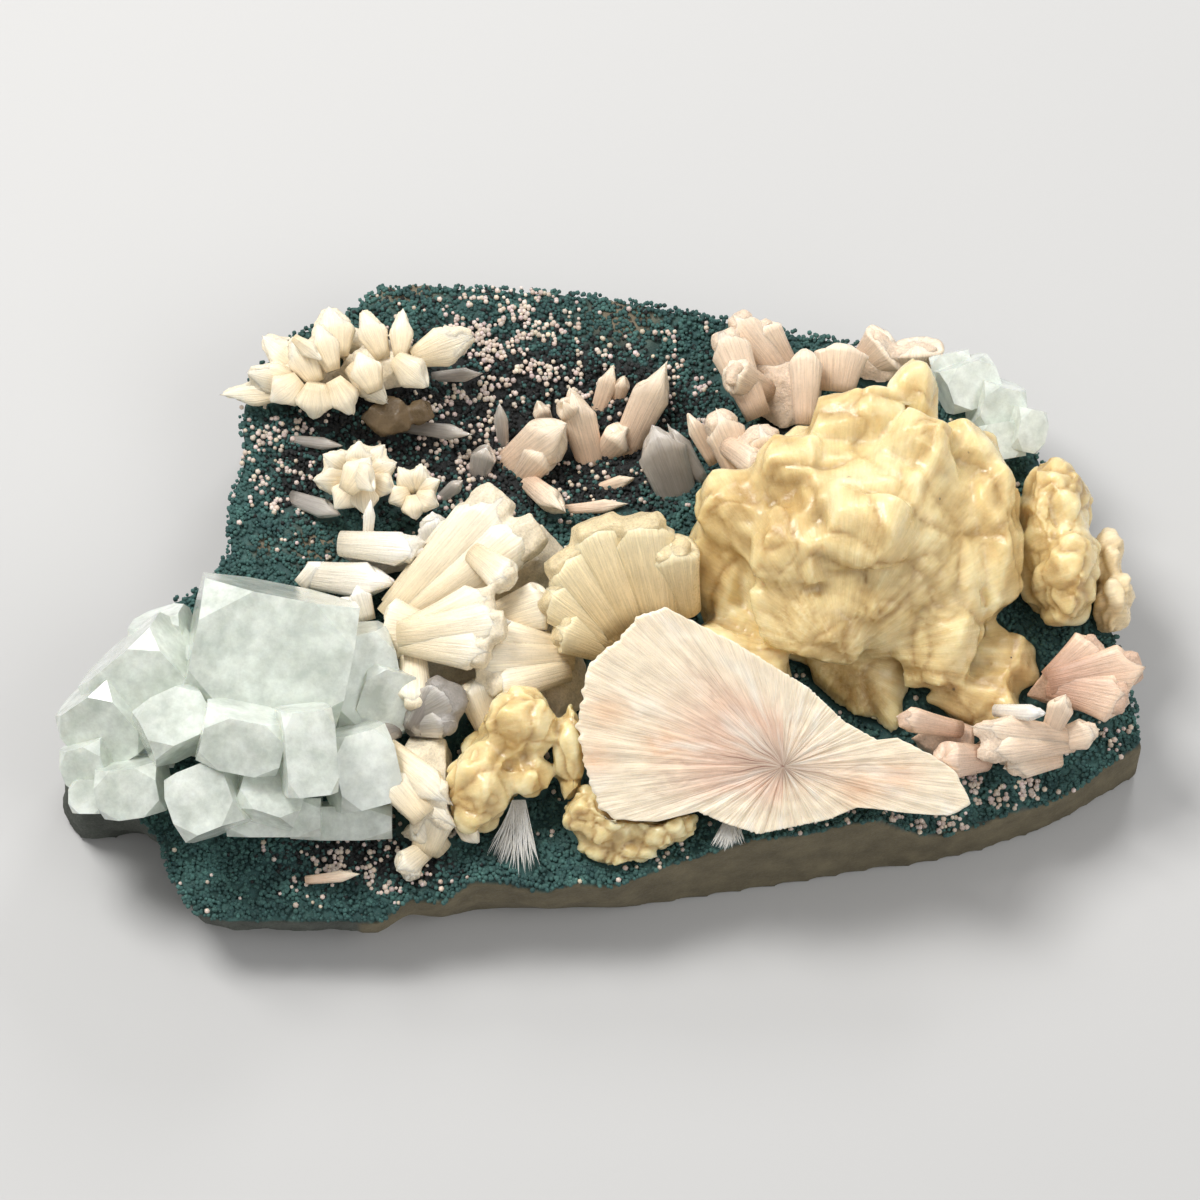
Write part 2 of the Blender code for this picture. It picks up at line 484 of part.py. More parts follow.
def spray(middle, ends, low):
    """A flat fan of fibres from one point, over the plate's edge."""
    top = [seen_at(*middle), seen_at(middle[0] + 2, middle[1], middle[2])]
    points = top + [point - TOWARD_EYE * (3 * MM) for point in top]
    for across, up in ends:
        tip = seen_at(across, up, low)
        points += [tip, tip - TOWARD_EYE * (2.2 * MM)]
    return hull(points)


class Specimen:
    """Builds the pieces one by one, each cut clear of the plate and of those before it."""

    def __init__(self):
        for old in list(bpy.data.objects):
            bpy.data.objects.remove(old)
        self.parts = bpy.data.collections.new(SPECIMEN)
        self.cutters = bpy.data.collections.new(SPECIMEN + "_cutters")
        bpy.context.scene.collection.children.link(self.parts)
        bpy.context.scene.collection.children.link(self.cutters)
        self.taken = []

    def group(self, shapes):
        """Put shapes in a collection of their own under the cutters."""
        holder = bpy.data.collections.new("group")
        self.cutters.children.link(holder)
        for shape in shapes:
            made = mesh_object("shape", shape, holder)
            made.hide_render = True
            made.display_type = "WIRE"
        return holder

    def piece(self, name, made_of, shapes):
        """One solid from overlapping shapes, less the plate and the pieces before it."""
        first, *rest = shapes
        grown = [grow(shape, GAP * MM) for shape in shapes]
        whole = mesh_object(name, first, self.parts)
        if rest:
            boolean(whole, "UNION", self.group(rest))
        cuts = [other for other in self.taken if any(boxes_meet(other, shape) for shape in grown)]
        if cuts:
            boolean(whole, "DIFFERENCE", self.group([cut.copy() for cut in cuts]))
        apply_modifiers(whole)
        tidy_up(whole)
        whole.data.materials.append(made_of)
        self.taken += grown
        return whole

    def finish(self):
        """Remove the shapes that the pieces were cut with."""
        for shape in self.taken:
            shape.free()
        for holder in list(self.cutters.children):
            for made in list(holder.objects):
                bpy.data.objects.remove(made)
            bpy.data.collections.remove(holder)


def grow(shape, distance):
    """A copy of a solid, every face moved out by a distance."""
    bigger = shape.copy()
    bmesh.ops.triangulate(bigger, faces=bigger.faces)
    bigger.normal_update()
    moves = [vert.normal * (distance * vert.calc_shell_factor()) for vert in bigger.verts]
    for vert, move in zip(bigger.verts, moves):
        vert.co += move
    return bigger


def boxes_meet(one, other):
    """Whether the boxes around two shapes overlap."""
    for axis in range(3):
        ones = [vert.co[axis] for vert in one.verts]
        others = [vert.co[axis] for vert in other.verts]
        if max(ones) < min(others) or max(others) < min(ones):
            return False
    return True


def boolean(target, operation, operands):
    modifier = target.modifiers.new(operation.lower(), "BOOLEAN")
    modifier.operation = operation
    modifier.solver = "EXACT"
    modifier.operand_type = "COLLECTION"
    modifier.collection = operands


def apply_modifiers(target):
    evaluated = target.evaluated_get(bpy.context.evaluated_depsgraph_get())
    mesh = bpy.data.meshes.new_from_object(evaluated)
    old = target.data
    target.modifiers.clear()
    target.data = mesh
    bpy.data.meshes.remove(old)


def span_of(points):
    """How far a body reaches, corner to corner."""
    return sum(max(axis) - min(axis) for axis in zip(*(vert.co for vert in points)))


def bodies_of(shape):
    """The separate bodies of a shape, as lists of its points, the smallest first."""
    left = set(shape.verts)
    bodies = []
    while left:
        body = [left.pop()]
        for vert in body:
            for link in vert.link_edges:
                other = link.other_vert(vert)
                if other in left:
                    left.remove(other)
                    body.append(other)
        bodies.append(body)
    return sorted(bodies, key=span_of)


def tidy_up(target):
    """Keep the main body of a cut piece, with the finest of its slivers merged away."""
    shape = bmesh.new()
    for merge in MERGES:
        shape.clear()
        shape.from_mesh(target.data)
        bmesh.ops.dissolve_degenerate(shape, edges=shape.edges, dist=merge)
        bmesh.ops.remove_doubles(shape, verts=shape.verts, dist=merge)
        for body in bodies_of(shape)[:-1]:
            bmesh.ops.delete(shape, geom=body, context="VERTS")
        if all(len(edge.link_faces) == 2 for edge in shape.edges):
            break
    shape.to_mesh(target.data)
    shape.free()


def blades(rows, profile=POINTED):
    return [blade(row, profile) for row in rows]


def lumps(rows, count=20):
    return [lump(row, count) for row in rows]


def build():
    specimen = Specimen()
    basalt = material("basalt", (0.045, 0.1, 0.09), 0.85)
    cream = material("cream_stilbite", (0.83, 0.73, 0.55), 0.35)
    peach = material("peach_stilbite", (0.75, 0.55, 0.4), 0.35)
    grey = material("grey_stilbite", (0.5, 0.46, 0.42), 0.3)
    golden = material("golden_stilbite", (0.76, 0.58, 0.3), 0.35)
    pink = material("pink_stilbite", (0.78, 0.55, 0.42), 0.45)
    green = material("apophyllite", (0.68, 0.76, 0.68), 0.12, transmission=0.6)
    white = material("white_stilbite", (0.85, 0.83, 0.78), 0.4)

    plate_shape = plate()
    plate_cutter = plate(GAP)
    matrix = mesh_object("basalt_matrix", plate_shape, specimen.parts)
    matrix.data.materials.append(basalt)
    specimen.taken.append(plate_cutter)

    specimen.piece(
        "golden_mass", golden,
        [lump(MASS_BODY, 28)] + [mass_lobe(row) for row in MASS_LOBES] + lumps(MASS_SKIRT, 10),
    )
    specimen.piece("bow_tie_fan", pink, [fan()])
    specimen.piece("front_crust", golden, lumps(FRONT_CRUST, 14))
    specimen.piece("fan_crust", golden, lumps(FAN_CRUST, 12))
    specimen.piece("golden_sheaf", golden, blades(GOLDEN_SHEAF, BLUNT))
    specimen.piece("golden_lobes", golden, lumps(GOLDEN_LOBES, 18))
    specimen.piece(
        "apophyllite_cluster", green,
        [block(row) for row in APOPHYLLITES] + lumps(APOPHYLLITE_CORE, 10),
    )
    specimen.piece(
        "centre_sheaves", cream,
        lumps(CENTRE_CRUST, 10) + blades(LONG_SHEAF + BOW_TIE_SHEAF + PALE_SHEAF, BLUNT)
        + blades(WHITE_SHEAF),
    )
    specimen.piece("grey_clear_crystals", grey, blades(GREY_CLUSTER))
    specimen.piece(
        "low_left_crystals", cream,
        lumps(LOW_CRUST, 10) + blades(PALE_LOW_SHEAF + CLEAR_LOW_CRYSTALS + SMALL_CREAM_CRYSTAL),
    )
    specimen.piece("upper_left_rosette", cream, blades(ROSETTE_PETALS, PETAL) + lumps(ROSETTE_CORE, 10))
    specimen.piece("druse", grey, lumps(ROSETTE_DRUSE, 12))
    specimen.piece("left_flower", cream, blades(FLOWER_PETALS, PETAL) + lumps(FLOWER_CORE, 10))
    specimen.piece(
        "small_flower", cream, blades(SMALL_FLOWER_PETALS, PETAL) + lumps(SMALL_FLOWER_CORE, 10)
    )
    specimen.piece("left_sheaves", white, lumps(LEFT_CRUST, 10) + blades(WHITE_PRISM + CREAM_SHEAF))
    for name, rows in LONE_BLADES:
        finish = grey if name.startswith("grey") else peach
        specimen.piece(name, finish, [blade(rooted(row)) for row in rows])
    specimen.piece(
        "upper_right_cluster", peach,
        lumps(UPPER_RIGHT_CRUST, 10) + blades(UPPER_RIGHT_SHEAF + UPPER_RIGHT_COLUMNS, BLUNT),
    )
    specimen.piece("upper_right_blocks", peach, blades(UPPER_RIGHT_BLOCKS))
    specimen.piece("banded_columns", golden, lumps(RIGHT_COLUMNS, 18))
    specimen.piece("far_right_column", cream, lumps(FAR_RIGHT_COLUMN, 14))
    specimen.piece("right_fan", peach, lumps(RIGHT_FAN_CRUST, 10) + blades(RIGHT_FAN, BLUNT))
    specimen.piece(
        "low_right_sheaf", peach, lumps(LOW_RIGHT_CRUST, 10) + blades(LOW_RIGHT_SHEAF + PINK_BLADES)
    )
    specimen.piece("white_prism_right", white, blades(WHITE_PRISM_RIGHT))
    specimen.piece("striated_pink", peach, lumps(STRIATED_CRUST, 10) + blades(STRIATED_PINK, BLUNT))
    specimen.piece("top_right_apophyllite", green, [block(row) for row in TOP_RIGHT_APOPHYLLITES])
    for name, middle, ends, low in FIBRE_SPRAYS:
        specimen.piece(name, white, [spray(middle, ends, low)])
    specimen.finish()


build()
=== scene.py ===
"""Looks of a zeolite specimen: crystals on a plate of basalt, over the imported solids."""
import math
import random

import bmesh
import bpy
import numpy as np
from mathutils import Matrix, Vector, noise
from mathutils.bvhtree import BVHTree


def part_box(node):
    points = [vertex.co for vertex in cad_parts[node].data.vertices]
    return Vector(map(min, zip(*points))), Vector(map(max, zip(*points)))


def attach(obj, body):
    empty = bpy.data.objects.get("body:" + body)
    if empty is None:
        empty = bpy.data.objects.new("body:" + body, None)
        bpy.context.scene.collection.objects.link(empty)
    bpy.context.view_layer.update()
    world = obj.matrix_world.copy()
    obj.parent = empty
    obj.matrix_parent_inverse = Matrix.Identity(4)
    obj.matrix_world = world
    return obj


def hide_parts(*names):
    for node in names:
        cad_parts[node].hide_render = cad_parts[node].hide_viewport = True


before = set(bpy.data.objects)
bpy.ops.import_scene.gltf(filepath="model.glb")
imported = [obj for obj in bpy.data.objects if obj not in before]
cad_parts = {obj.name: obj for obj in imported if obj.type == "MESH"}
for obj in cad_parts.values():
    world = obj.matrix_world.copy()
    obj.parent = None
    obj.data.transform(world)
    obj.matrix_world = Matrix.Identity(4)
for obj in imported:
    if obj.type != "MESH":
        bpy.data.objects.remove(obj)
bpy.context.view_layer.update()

MM = 0.001

# The eye that the places are measured from
EYE_ELEVATION = math.radians(62.0)
EYE_DISTANCE = 1200.0
AIM_HEIGHT = 30.0
CENTRE_SHIFT = (0.0, -5.5)  # moves the middle of the specimen's box over the origin

# The plate of basalt
GROUND_HEIGHT = 24.0
GROUND_TILT = 0.02
HOLLOW_MIDDLE = (-12.0, 35.0)
HOLLOW_SIZE = (36.0, 24.0)
HOLLOW_DEPTH = 10.0
LUMP_HEIGHT = 2.2
LUMP_SPACING = 17.0

ROOT_DEPTH = 1.0  # how far a lone crystal's foot would reach under the lined face

TOWARD_EYE = Vector((0, -math.cos(EYE_ELEVATION), math.sin(EYE_ELEVATION)))
UP_THE_VIEW = Vector((0, math.sin(EYE_ELEVATION), math.cos(EYE_ELEVATION)))
ACROSS = Vector((1, 0, 0))
AIM = Vector((0, 0, AIM_HEIGHT))
EYE = AIM + TOWARD_EYE * EYE_DISTANCE

# How a crystal widens and thins from foot to tip: share of length, of width, of thickness
POINTED = ((0, 0.75, 0.8), (0.84, 1, 1), (1, 0.5, 0.25))
PETAL = ((0, 0.45, 0.6), (0.62, 1, 1), (1, 0.42, 0.3))
BLUNT = ((0, 0.7, 0.8), (0.9, 1, 1), (1, 0.78, 0.6))
# Crystals: across, up, height of the foot; across, up, height of the tip; width, thickness, turn
ROSETTE_PETALS = (
    (-70, 54, 33, -81, 63.5, 35, 10, 5, 10), (-72, 52, 34, -85, 55, 37, 9, 5, -15),
    (-74, 50, 33, -91, 49.5, 31, 7, 4, 5), (-68, 52, 36, -74, 63.5, 41, 9, 5, 0),
    (-73.5, 63, 44, -66.5, 57.5, 42, 4.5, 3, 20), (-64, 55, 38, -68, 66.5, 43, 8, 5, 0),
    (-63, 58, 33, -65, 70.5, 37, 12, 5, 0), (-52, 58, 37, -57, 70, 42, 8, 4.5, -10),
    (-48, 58, 38, -47.5, 70, 42, 6.5, 4, 0), (-45, 58, 36, -30, 64, 38, 11, 6, 10),
    (-54, 50, 40, -58, 60, 44, 9, 6, 0), (-49, 58, 44, -41, 51, 42, 9, 7, 25),
    (-72, 53, 38, -79, 47, 35, 10, 6, 0), (-68, 52, 39, -69, 43, 33, 11, 7, 0),
    (-64, 53, 39, -59, 44, 34, 9, 6, 0), (-60, 56, 36, -51, 47, 34, 8, 6, 20),
)
# Blades that stand alone: name, then crystals whose heights are over the lined face at the foot
LONE_BLADES = (
    ("grey_blade_top", ((-40, 53.5, 0, -28, 54.5, 5, 3.6, 3.2, 0),)),
    ("grey_blade_middle", ((-47, 41.5, 0, -30, 40, 6, 4, 3.4, 10),)),
    ("grey_blade_left", ((-75.5, 38.5, 0.5, -61, 37.2, 4, 3.2, 3, 0),)),
    ("grey_blade_left_low", ((-74, 24.5, 0, -62, 20.5, 6, 5, 3.5, 0),)),
    ("grey_blade_upright", ((-23, 35.5, -1, -24, 47.5, 10, 3.6, 3, 0),)),
    ("grey_blade_oval", ((-29.5, 29, -1, -27, 37.5, 7, 6.5, 4, 0),)),
    ("grey_blade_right", ((-38.5, 24, 0, -33, 29, 6, 3.6, 3, 0),)),
    ("lying_blade_hollow", ((-9, 21.6, 1.5, 7.5, 22.6, 5, 3.4, 3, 0),)),
    ("small_blade_hollow", ((-1, 26.5, 1.5, 8.5, 29.5, 5, 3.4, 3, 0),)),
    ("lying_blade_floor", ((-70.5, -67.2, 0, -57, -66, 3, 2.8, 2.6, 0),)),
    ("peach_block", ((-22, 31, -1, -8, 42.5, 14, 12.5, 9, 0), (-19, 29, 0, -12, 38, 11, 9, 8, 0))),
    ("peach_blade_left", ((-1.5, 31, -1, -7.5, 51, 15, 9, 6, 0), (-5, 42, 2, -9, 48, 14, 6, 5, 0))),
    ("peach_blade_right", ((5.5, 35, -1, 15.5, 57.5, 18, 9.5, 8, 0),)),
    ("peach_foot_block", ((1, 35, -1, 6.5, 41, 8, 8, 7, 10),)),
    ("peach_blade_top", ((-1, 44, -1, 3.5, 56.5, 9, 5, 4, 0),)),
    ("peach_blade_small", ((4, 47, -1, 6, 54, 7, 4, 3.5, 0),)),
    (
        "grey_peach_blade",
        ((19.5, 23, -1, 12, 42, 13, 12.5, 7, 0), (25, 28, 0, 16, 42, 9, 4.5, 4, 20)),
    ),
    ("pink_blade", ((-18.5, 29.5, 0, -8.5, 20.5, 13, 6, 5.5, 0),)),
    ("small_prism", ((-12, 40, -1, -15, 48, 7, 4.5, 4, 0),)),
)
FLOWER_PETALS = (
    (-58, 30, 33, -58, 38.5, 39, 8, 4.5, 0), (-57, 31, 33, -51.5, 37.5, 38, 7, 4, 0),
    (-56, 30, 33, -48.5, 33, 36, 7, 4.5, 15), (-60, 31, 33, -66.5, 35, 38, 8, 4.5, 0),
    (-60, 29, 33, -69, 28.5, 34, 8, 5, -15), (-59, 28, 35, -64, 21.5, 33, 8, 5, 0),
    (-57, 28, 36, -56, 20, 33, 8, 5, 0), (-55, 29, 35, -49, 26, 34, 7, 4.5, 20),
    (-61, 26, 40, -55, 35, 43, 9, 5, 0), (-60, 33, 41, -54, 26, 42, 8, 5, 30),
)
SMALL_FLOWER_PETALS = (
    (-44.5, 26, 32, -48.5, 32, 36, 6, 4, 0), (-44, 26, 32, -42.5, 33, 37, 6.5, 4, 0),
    (-44, 26, 32, -38.3, 29, 35, 6, 4, 0), (-44, 25, 34, -38.5, 22.5, 34, 6.5, 4, 0),
    (-45, 25, 34, -44, 19, 32, 7, 4.5, 0), (-46, 26, 33, -51, 23.5, 33, 6.5, 4, 0),
)
WHITE_PRISM = (
    (-62, 13.5, 34, -40.5, 11.8, 40, 8.4, 7.5, 0), (-56, 13, 33, -54.8, 24.5, 42, 3, 2.6, 0),
    (-39, 9, 26, -40.5, 21.5, 34, 8, 5, 0), (-44, 12, 27, -36, 19.5, 33, 6, 4, 15),
)
CREAM_SHEAF = (
    (-70, 6, 28, -48.5, 3.5, 35, 9, 6, 0), (-57, -6, 30, -65, 0.5, 34, 7, 5, 0),
    (-56, -5, 31, -58.5, 4, 35, 6, 5, 0), (-72, 3.5, 28, -66, 9.5, 31, 5, 4, 0),
)
LONG_SHEAF = (
    (-50, -5, 32, -23, 26, 47, 13, 11, 0), (-48, -6, 32, -14, 18, 45, 12, 11, 10),
    (-50, -2, 31, -30, 22, 42, 9, 8, -10), (-30, 11, 44, -21, 4, 49, 8, 7, 0),
)
BOW_TIE_SHEAF = (
    (-47, -8, 42, -25, 0.5, 47, 9, 8, 0), (-48, -8.5, 43, -22, -6, 49, 10, 9, 0),
    (-47, -10, 42, -26, -13, 47, 9, 8, 0), (-42, -8, 41, -52, -7, 39, 14, 9, 0),
    (-45, -10, 38, -44, -27, 36, 8, 7, 0),
)
WHITE_SHEAF = ((-26, -5, 36, -11, 0, 43, 11, 7, 0),)
PALE_SHEAF = (
    (-8, -12, 34, -28, -9, 41, 9, 7, 0), (-7, -14, 34, -30.5, -15, 42, 9, 7, 0),
    (-8, -17, 34, -27, -21.5, 40, 8, 7, 0), (-25, -34, 28, -31, -19, 38, 9, 7, 0),
)
GREY_CLUSTER = (
    (-46, -29, 30, -32, -22, 41, 11, 9, 0), (-45, -30, 30, -34, -29.5, 38, 7, 7, 20),
    (-49, -31, 30, -56, -33, 34, 6, 6, 0), (-45, -31, 32, -37.5, -18, 41, 7, 6, 0),
)
PALE_LOW_SHEAF = (
    (-51, -36, 36, -35, -49, 36, 8, 7, 0), (-50, -40, 34, -34.5, -55, 32, 7, 6, 0),
    (-42, -52, 34, -51, -41, 37, 9, 5, 25),
)
CLEAR_LOW_CRYSTALS = (
    (-42, -60, 24, -38, -48.5, 33, 9, 7, 0), (-38, -60, 23, -45, -52, 31, 7, 6, 20),
    (-35, -51, 30, -29, -59, 27, 5, 4, 0),
)
SMALL_CREAM_CRYSTAL = (
    (-42, -60, 24, -49, -65, 27, 6.5, 5, 0), (-44, -62, 24, -46.5, -67.5, 24, 5, 5, 0),
)
GOLDEN_SHEAF = (
    (4, -8, 40, -10, 12, 50, 13, 14, 0), (8, -6, 40, -2, 20, 54, 15, 16, 0),
    (14, -4, 42, 9, 21, 57, 14, 16, 0), (4, -10, 39, -13, 3, 46, 12, 12, 0),
    (20, -2, 40, 16, 15, 56, 12, 14, 0), (2, -12, 37, -11, -6, 43, 10, 12, 0),
)
UPPER_RIGHT_SHEAF = (
    (44, 53, 28, 32, 69, 40, 8, 6, 0), (46, 55, 28, 38, 67, 38, 7, 5, 0),
    (38, 44, 30, 29, 65, 42, 9, 7, 0), (40, 50, 29, 30.5, 55, 42, 8, 6, 0),
)
UPPER_RIGHT_BLOCKS = (
    (34, 30, 34, 27.5, 46, 44, 10, 8, 0), (27.5, 33, 31, 20.5, 45, 40, 4.5, 4, 0),
    (40, 30, 36, 38, 42.5, 46, 11, 9, 0), (31, 37, 40, 40, 31, 48, 7, 7, 20),
)
UPPER_RIGHT_COLUMNS = (
    (49, 42, 34, 50, 61, 42, 7.5, 6, 0), (57, 50, 32, 58, 62, 38, 12, 6, 0),
    (64, 57, 26, 70, 62, 34, 12, 7, 0), (76, 56, 26, 76, 61.5, 34, 12, 7, 0),
)
FAN_CENTRE = (44.0, -40.0)
FAN_LOW_EDGE = (-56.0, 35.0)  # up the view, height
FAN_THICKNESS = 13.0
FAN_OUTLINE = (
    (3, -9.5), (9, -3), (15.5, -1), (20, -3.5), (32, -9.5), (45, -17.5), (50, -20.5), (59, -29),
    (67, -33.5), (72, -33), (80, -37), (86, -41), (90, -49), (85, -52), (75, -51.5), (68, -50.5),
    (62, -50), (55, -53), (50, -54), (38, -56.5), (30, -54), (23, -51), (13, -53.5), (3, -53),
    (-1, -50), (-4, -42), (-6.5, -30), (-5.5, -25), (-4, -16), (-1.5, -13),
)
RIGHT_FAN = (
    (108, -20, 33, 121, -10.5, 39, 10, 6, 0), (108, -20, 34, 130.5, -15.5, 40, 10, 6, 0),
    (108, -20.5, 33, 127, -24.5, 38, 9, 6, 0),
)
LOW_RIGHT_SHEAF = (
    (113, -33, 31, 89, -31, 41, 7, 6, 0), (113, -34, 30, 90, -37, 39, 7, 6, 0),
    (110, -38, 27, 97, -40.5, 33, 6, 5, 0),
)
WHITE_PRISM_RIGHT = ((95, -26.5, 36, 107.5, -27.2, 45, 4, 3.8, 0),)
PINK_BLADES = (
    (108, -32, 33, 112, -22.5, 42, 6, 4, 0), (109, -34, 30, 120, -31, 36, 7, 4, 0),
)
STRIATED_PINK = ((86, -31, 34, 71.5, -28.5, 44, 6, 6, 0), (92, -38, 32, 81, -38.5, 41, 9, 8, 0))

FIBRE_SPRAYS = (
    ("fibre_spray_left", (-20, -48, 28), ((-28, -61), (-24, -65), (-19, -67), (-14, -64)), 24),
    ("fibre_spray_front", (31, -52, 30), ((26, -59), (30, -60.5), (35, -58.5)), 29.5),
)


def srgb(red, green, blue):
    """A colour on the screen's scale of 0 to 255 as linear light."""
    return np.array([((c / 255 + 0.055) / 1.055) ** 2.4 for c in (red, green, blue)])


# Rings of a crystal: share of its length, and how far it is drawn in there
CRYSTAL_RINGS = (
    (0.0, 1.0), (0.18, 1.0), (0.36, 1.0), (0.54, 1.0), (0.7, 1.0), (0.82, 1.0), (0.9, 1.0),
    (0.95, 0.97), (0.985, 0.88), (1.0, 0.66), (1.004, 0.3),
)
CRYSTAL_SIDES = 28
SQUARENESS = 0.55  # power that makes a round section nearly square
WEDGE = 0.26  # share of the length by which a crystal's edges stop short of its middle
BLUNT_WEDGE = 0.16
RAGGED_END = 0.07  # share of the length by which the end is broken back
CRYSTAL_BEND = 0.03  # share of the length by which the tip may stand aside
LINE_RELIEF = 0.16  # millimetres

# The fan: fibres around, rings outward, then shares of the way from its centre to its edge
FAN_FIBRES = 640
FAN_RINGS = 44
FAN_BACK = ((1.0, 1.8), (0.9, 6.0), (0.8, FAN_THICKNESS - 1))  # share of the way out, depth
FAN_HEART = 0.2  # how far out the dark heart reaches
FAN_BLUSH = (0.32, 0.26)  # middle and breadth of the pink ring
FAN_JAG = 0.035  # how far in the edge is broken

# Grains of the lining, radii in millimetres
GRAIN_COUNT = 19500
GRAIN_PIECES = 2
GRAIN_RADII = (0.38, 0.72)
PALE_RADII = (0.45, 0.8)
STEEPEST_LINED = 0.5  # least upward part of the normal where grains still sit

# White sprays, radius in millimetres
SPRAY_FIBRES = 170
FIBRE_RADIUS = 0.16

# Relief in millimetres, the same everywhere and then the weight of each kind of noise
LINED_RELIEF = (-0.9, (0.8, 0.7))
SAWN_RELIEF = (-0.15, (0.05,))
BROKEN_RELIEF = (-0.8, (0.7, 0.3))
WAX_RELIEF = (-1.2, (1.5, 0.35, 0.5, 0.35))
# Painted light on the waxy masses: lobe tops painted pale as highlight, creases painted dark as shade,
# clouds and streaks as random tone
WAX_TONE_AND_PAINTED_LIGHT = (0.05, (0.65, 0.35, 0.15, 0.25))  # a share of the pale tone, made up likewise

# Places in the view: where the streaks of the waxy masses meet, and where the sawn side begins
STREAK_MIDDLE = (58.0, -14.0)
SAWN_FROM = -58.0

# Camera in millimetres, and lights in metres and watts: name, size, power, place, colour
VIEW_WIDTH = 288.0
SENSOR_WIDTH = 36
LIT_PLACE = Vector((0, 0, 0.03))
LIGHTS = (
    ("key", 0.45, 13.0, (-0.5, 0.35, 1.05), (1, 0.985, 0.96)),
    ("fill", 0.8, 4.5, (0.75, -0.5, 0.9), (1, 1, 1)),
    ("back", 0.3, 3.0, (0.3, 0.8, 0.7), (1, 1, 1)),
)

# Sockets of the colour mix
MIX_FACTOR, MIX_FIRST, MIX_SECOND, MIXED = 0, 6, 7, 2

# Tones, linear
CELADONITE = srgb(42, 72, 72)
CELADONITE_PALE = srgb(74, 112, 106)
# Painted shade: the black that stands for shade in the hollow and under crystals, on the lined face
# and its grains
PAINTED_SHADE_BLACK = srgb(30, 32, 33)
SAWN_BASALT = srgb(104, 96, 76)
BROKEN_BASALT = srgb(72, 76, 70)
BARE_BASALT = srgb(118, 108, 90)
PALE_GRAIN = srgb(216, 204, 194)
APOPHYLLITE_TONE = srgb(240, 247, 238)
STAIN_SPECK = srgb(92, 92, 88)
STONE_SPECK = (0.16, 0.15, 0.12)
FAN_CREAM = srgb(240, 226, 202)
FAN_ROSE = srgb(226, 180, 158)
FAN_ORANGE = srgb(230, 168, 116)
FAN_PURPLE = srgb(142, 98, 84)
FAN_WHITE = srgb(248, 242, 230)
FAN_STAINS = ((2, -27, 5, 4), (-1, -38, 5, 4), (15, -35, 5, 4), (72, -42, 5, 4), (62, -46, 5, 4))
# Painted light on the waxy masses: a shade tone for creases, the own tone, and a highlight tone for
# lobe tops
GOLD_SHADE_TO_HIGHLIGHT = (srgb(192, 160, 104), srgb(228, 206, 154), srgb(243, 231, 190))
CREAM_SHADE_TO_HIGHLIGHT = (srgb(222, 196, 150), srgb(236, 214, 172), srgb(246, 232, 200))
LONE_TONES = {
    "grey": ((170, 162, 154), (222, 214, 204)), "peach": ((222, 192, 166), (246, 230, 208)),
}
DRUSE_TONE = srgb(150, 128, 98)
SPRAY_TONE = srgb(240, 238, 232)
# Places in the view: across, up, how wide and how tall; for pale grains also how many
# Painted shade: places in the hollow and under crystals where the lined face and its grains are
# painted black
PAINTED_SHADE_PLACES = (
    (-25, 45, 26, 20), (0, 30, 16, 8), (-60, 46, 14, 7), (-40, 34, 20, 10), (-72, 30, 6, 10),
    (5, 45, 20, 14), (-60, -60, 14, 6), (45, 45, 8, 8), (-45, -64, 10, 4),
)
BARE_PLACES = ((-47, 75, 7, 3.5), (6, 68.5, 7, 5), (-68, 13, 5, 4), (-81, 13, 2, 2))
PALE_PLACES = (
    (-24, 62, 14, 12, 1.1), (-75, 44, 6, 5, 1.1), (-79, 28, 9, 12, 0.5), (-57, -62, 13, 8, 0.8),
    (-2, 27, 9, 6, 0.5), (-33, 38, 12, 12, 0.7), (10, 50, 16, 10, 0.4), (0, 10, 120, 120, 0.05),
    (97, -45, 10, 4, 1.6), (75, -54, 12, 2.5, 1.2), (20, -63, 14, 2.5, 0.6), (118, -33, 8, 4, 0.7),
)
# Waxy masses: node, voxel, size of the big and small lobes, seed
ROLLED = (
    ("golden_mass", 0.95, 17.0, 6.0, 3.0), ("front_crust", 0.7, 6.0, 3.0, 4.0),
    ("fan_crust", 0.8, 7.0, 3.0, 5.0), ("golden_lobes", 0.7, 9.0, 4.0, 6.0),
    ("banded_columns", 0.8, 9.0, 4.0, 7.0), ("far_right_column", 0.8, 8.0, 4.0, 8.0),
)
CREAM = ((232, 214, 180), (248, 240, 222))
PEACH = ((226, 198, 172), (246, 228, 206))
GREY = ((150, 142, 136), (214, 208, 200))
WHITE = ((226, 216, 196), (250, 247, 240))
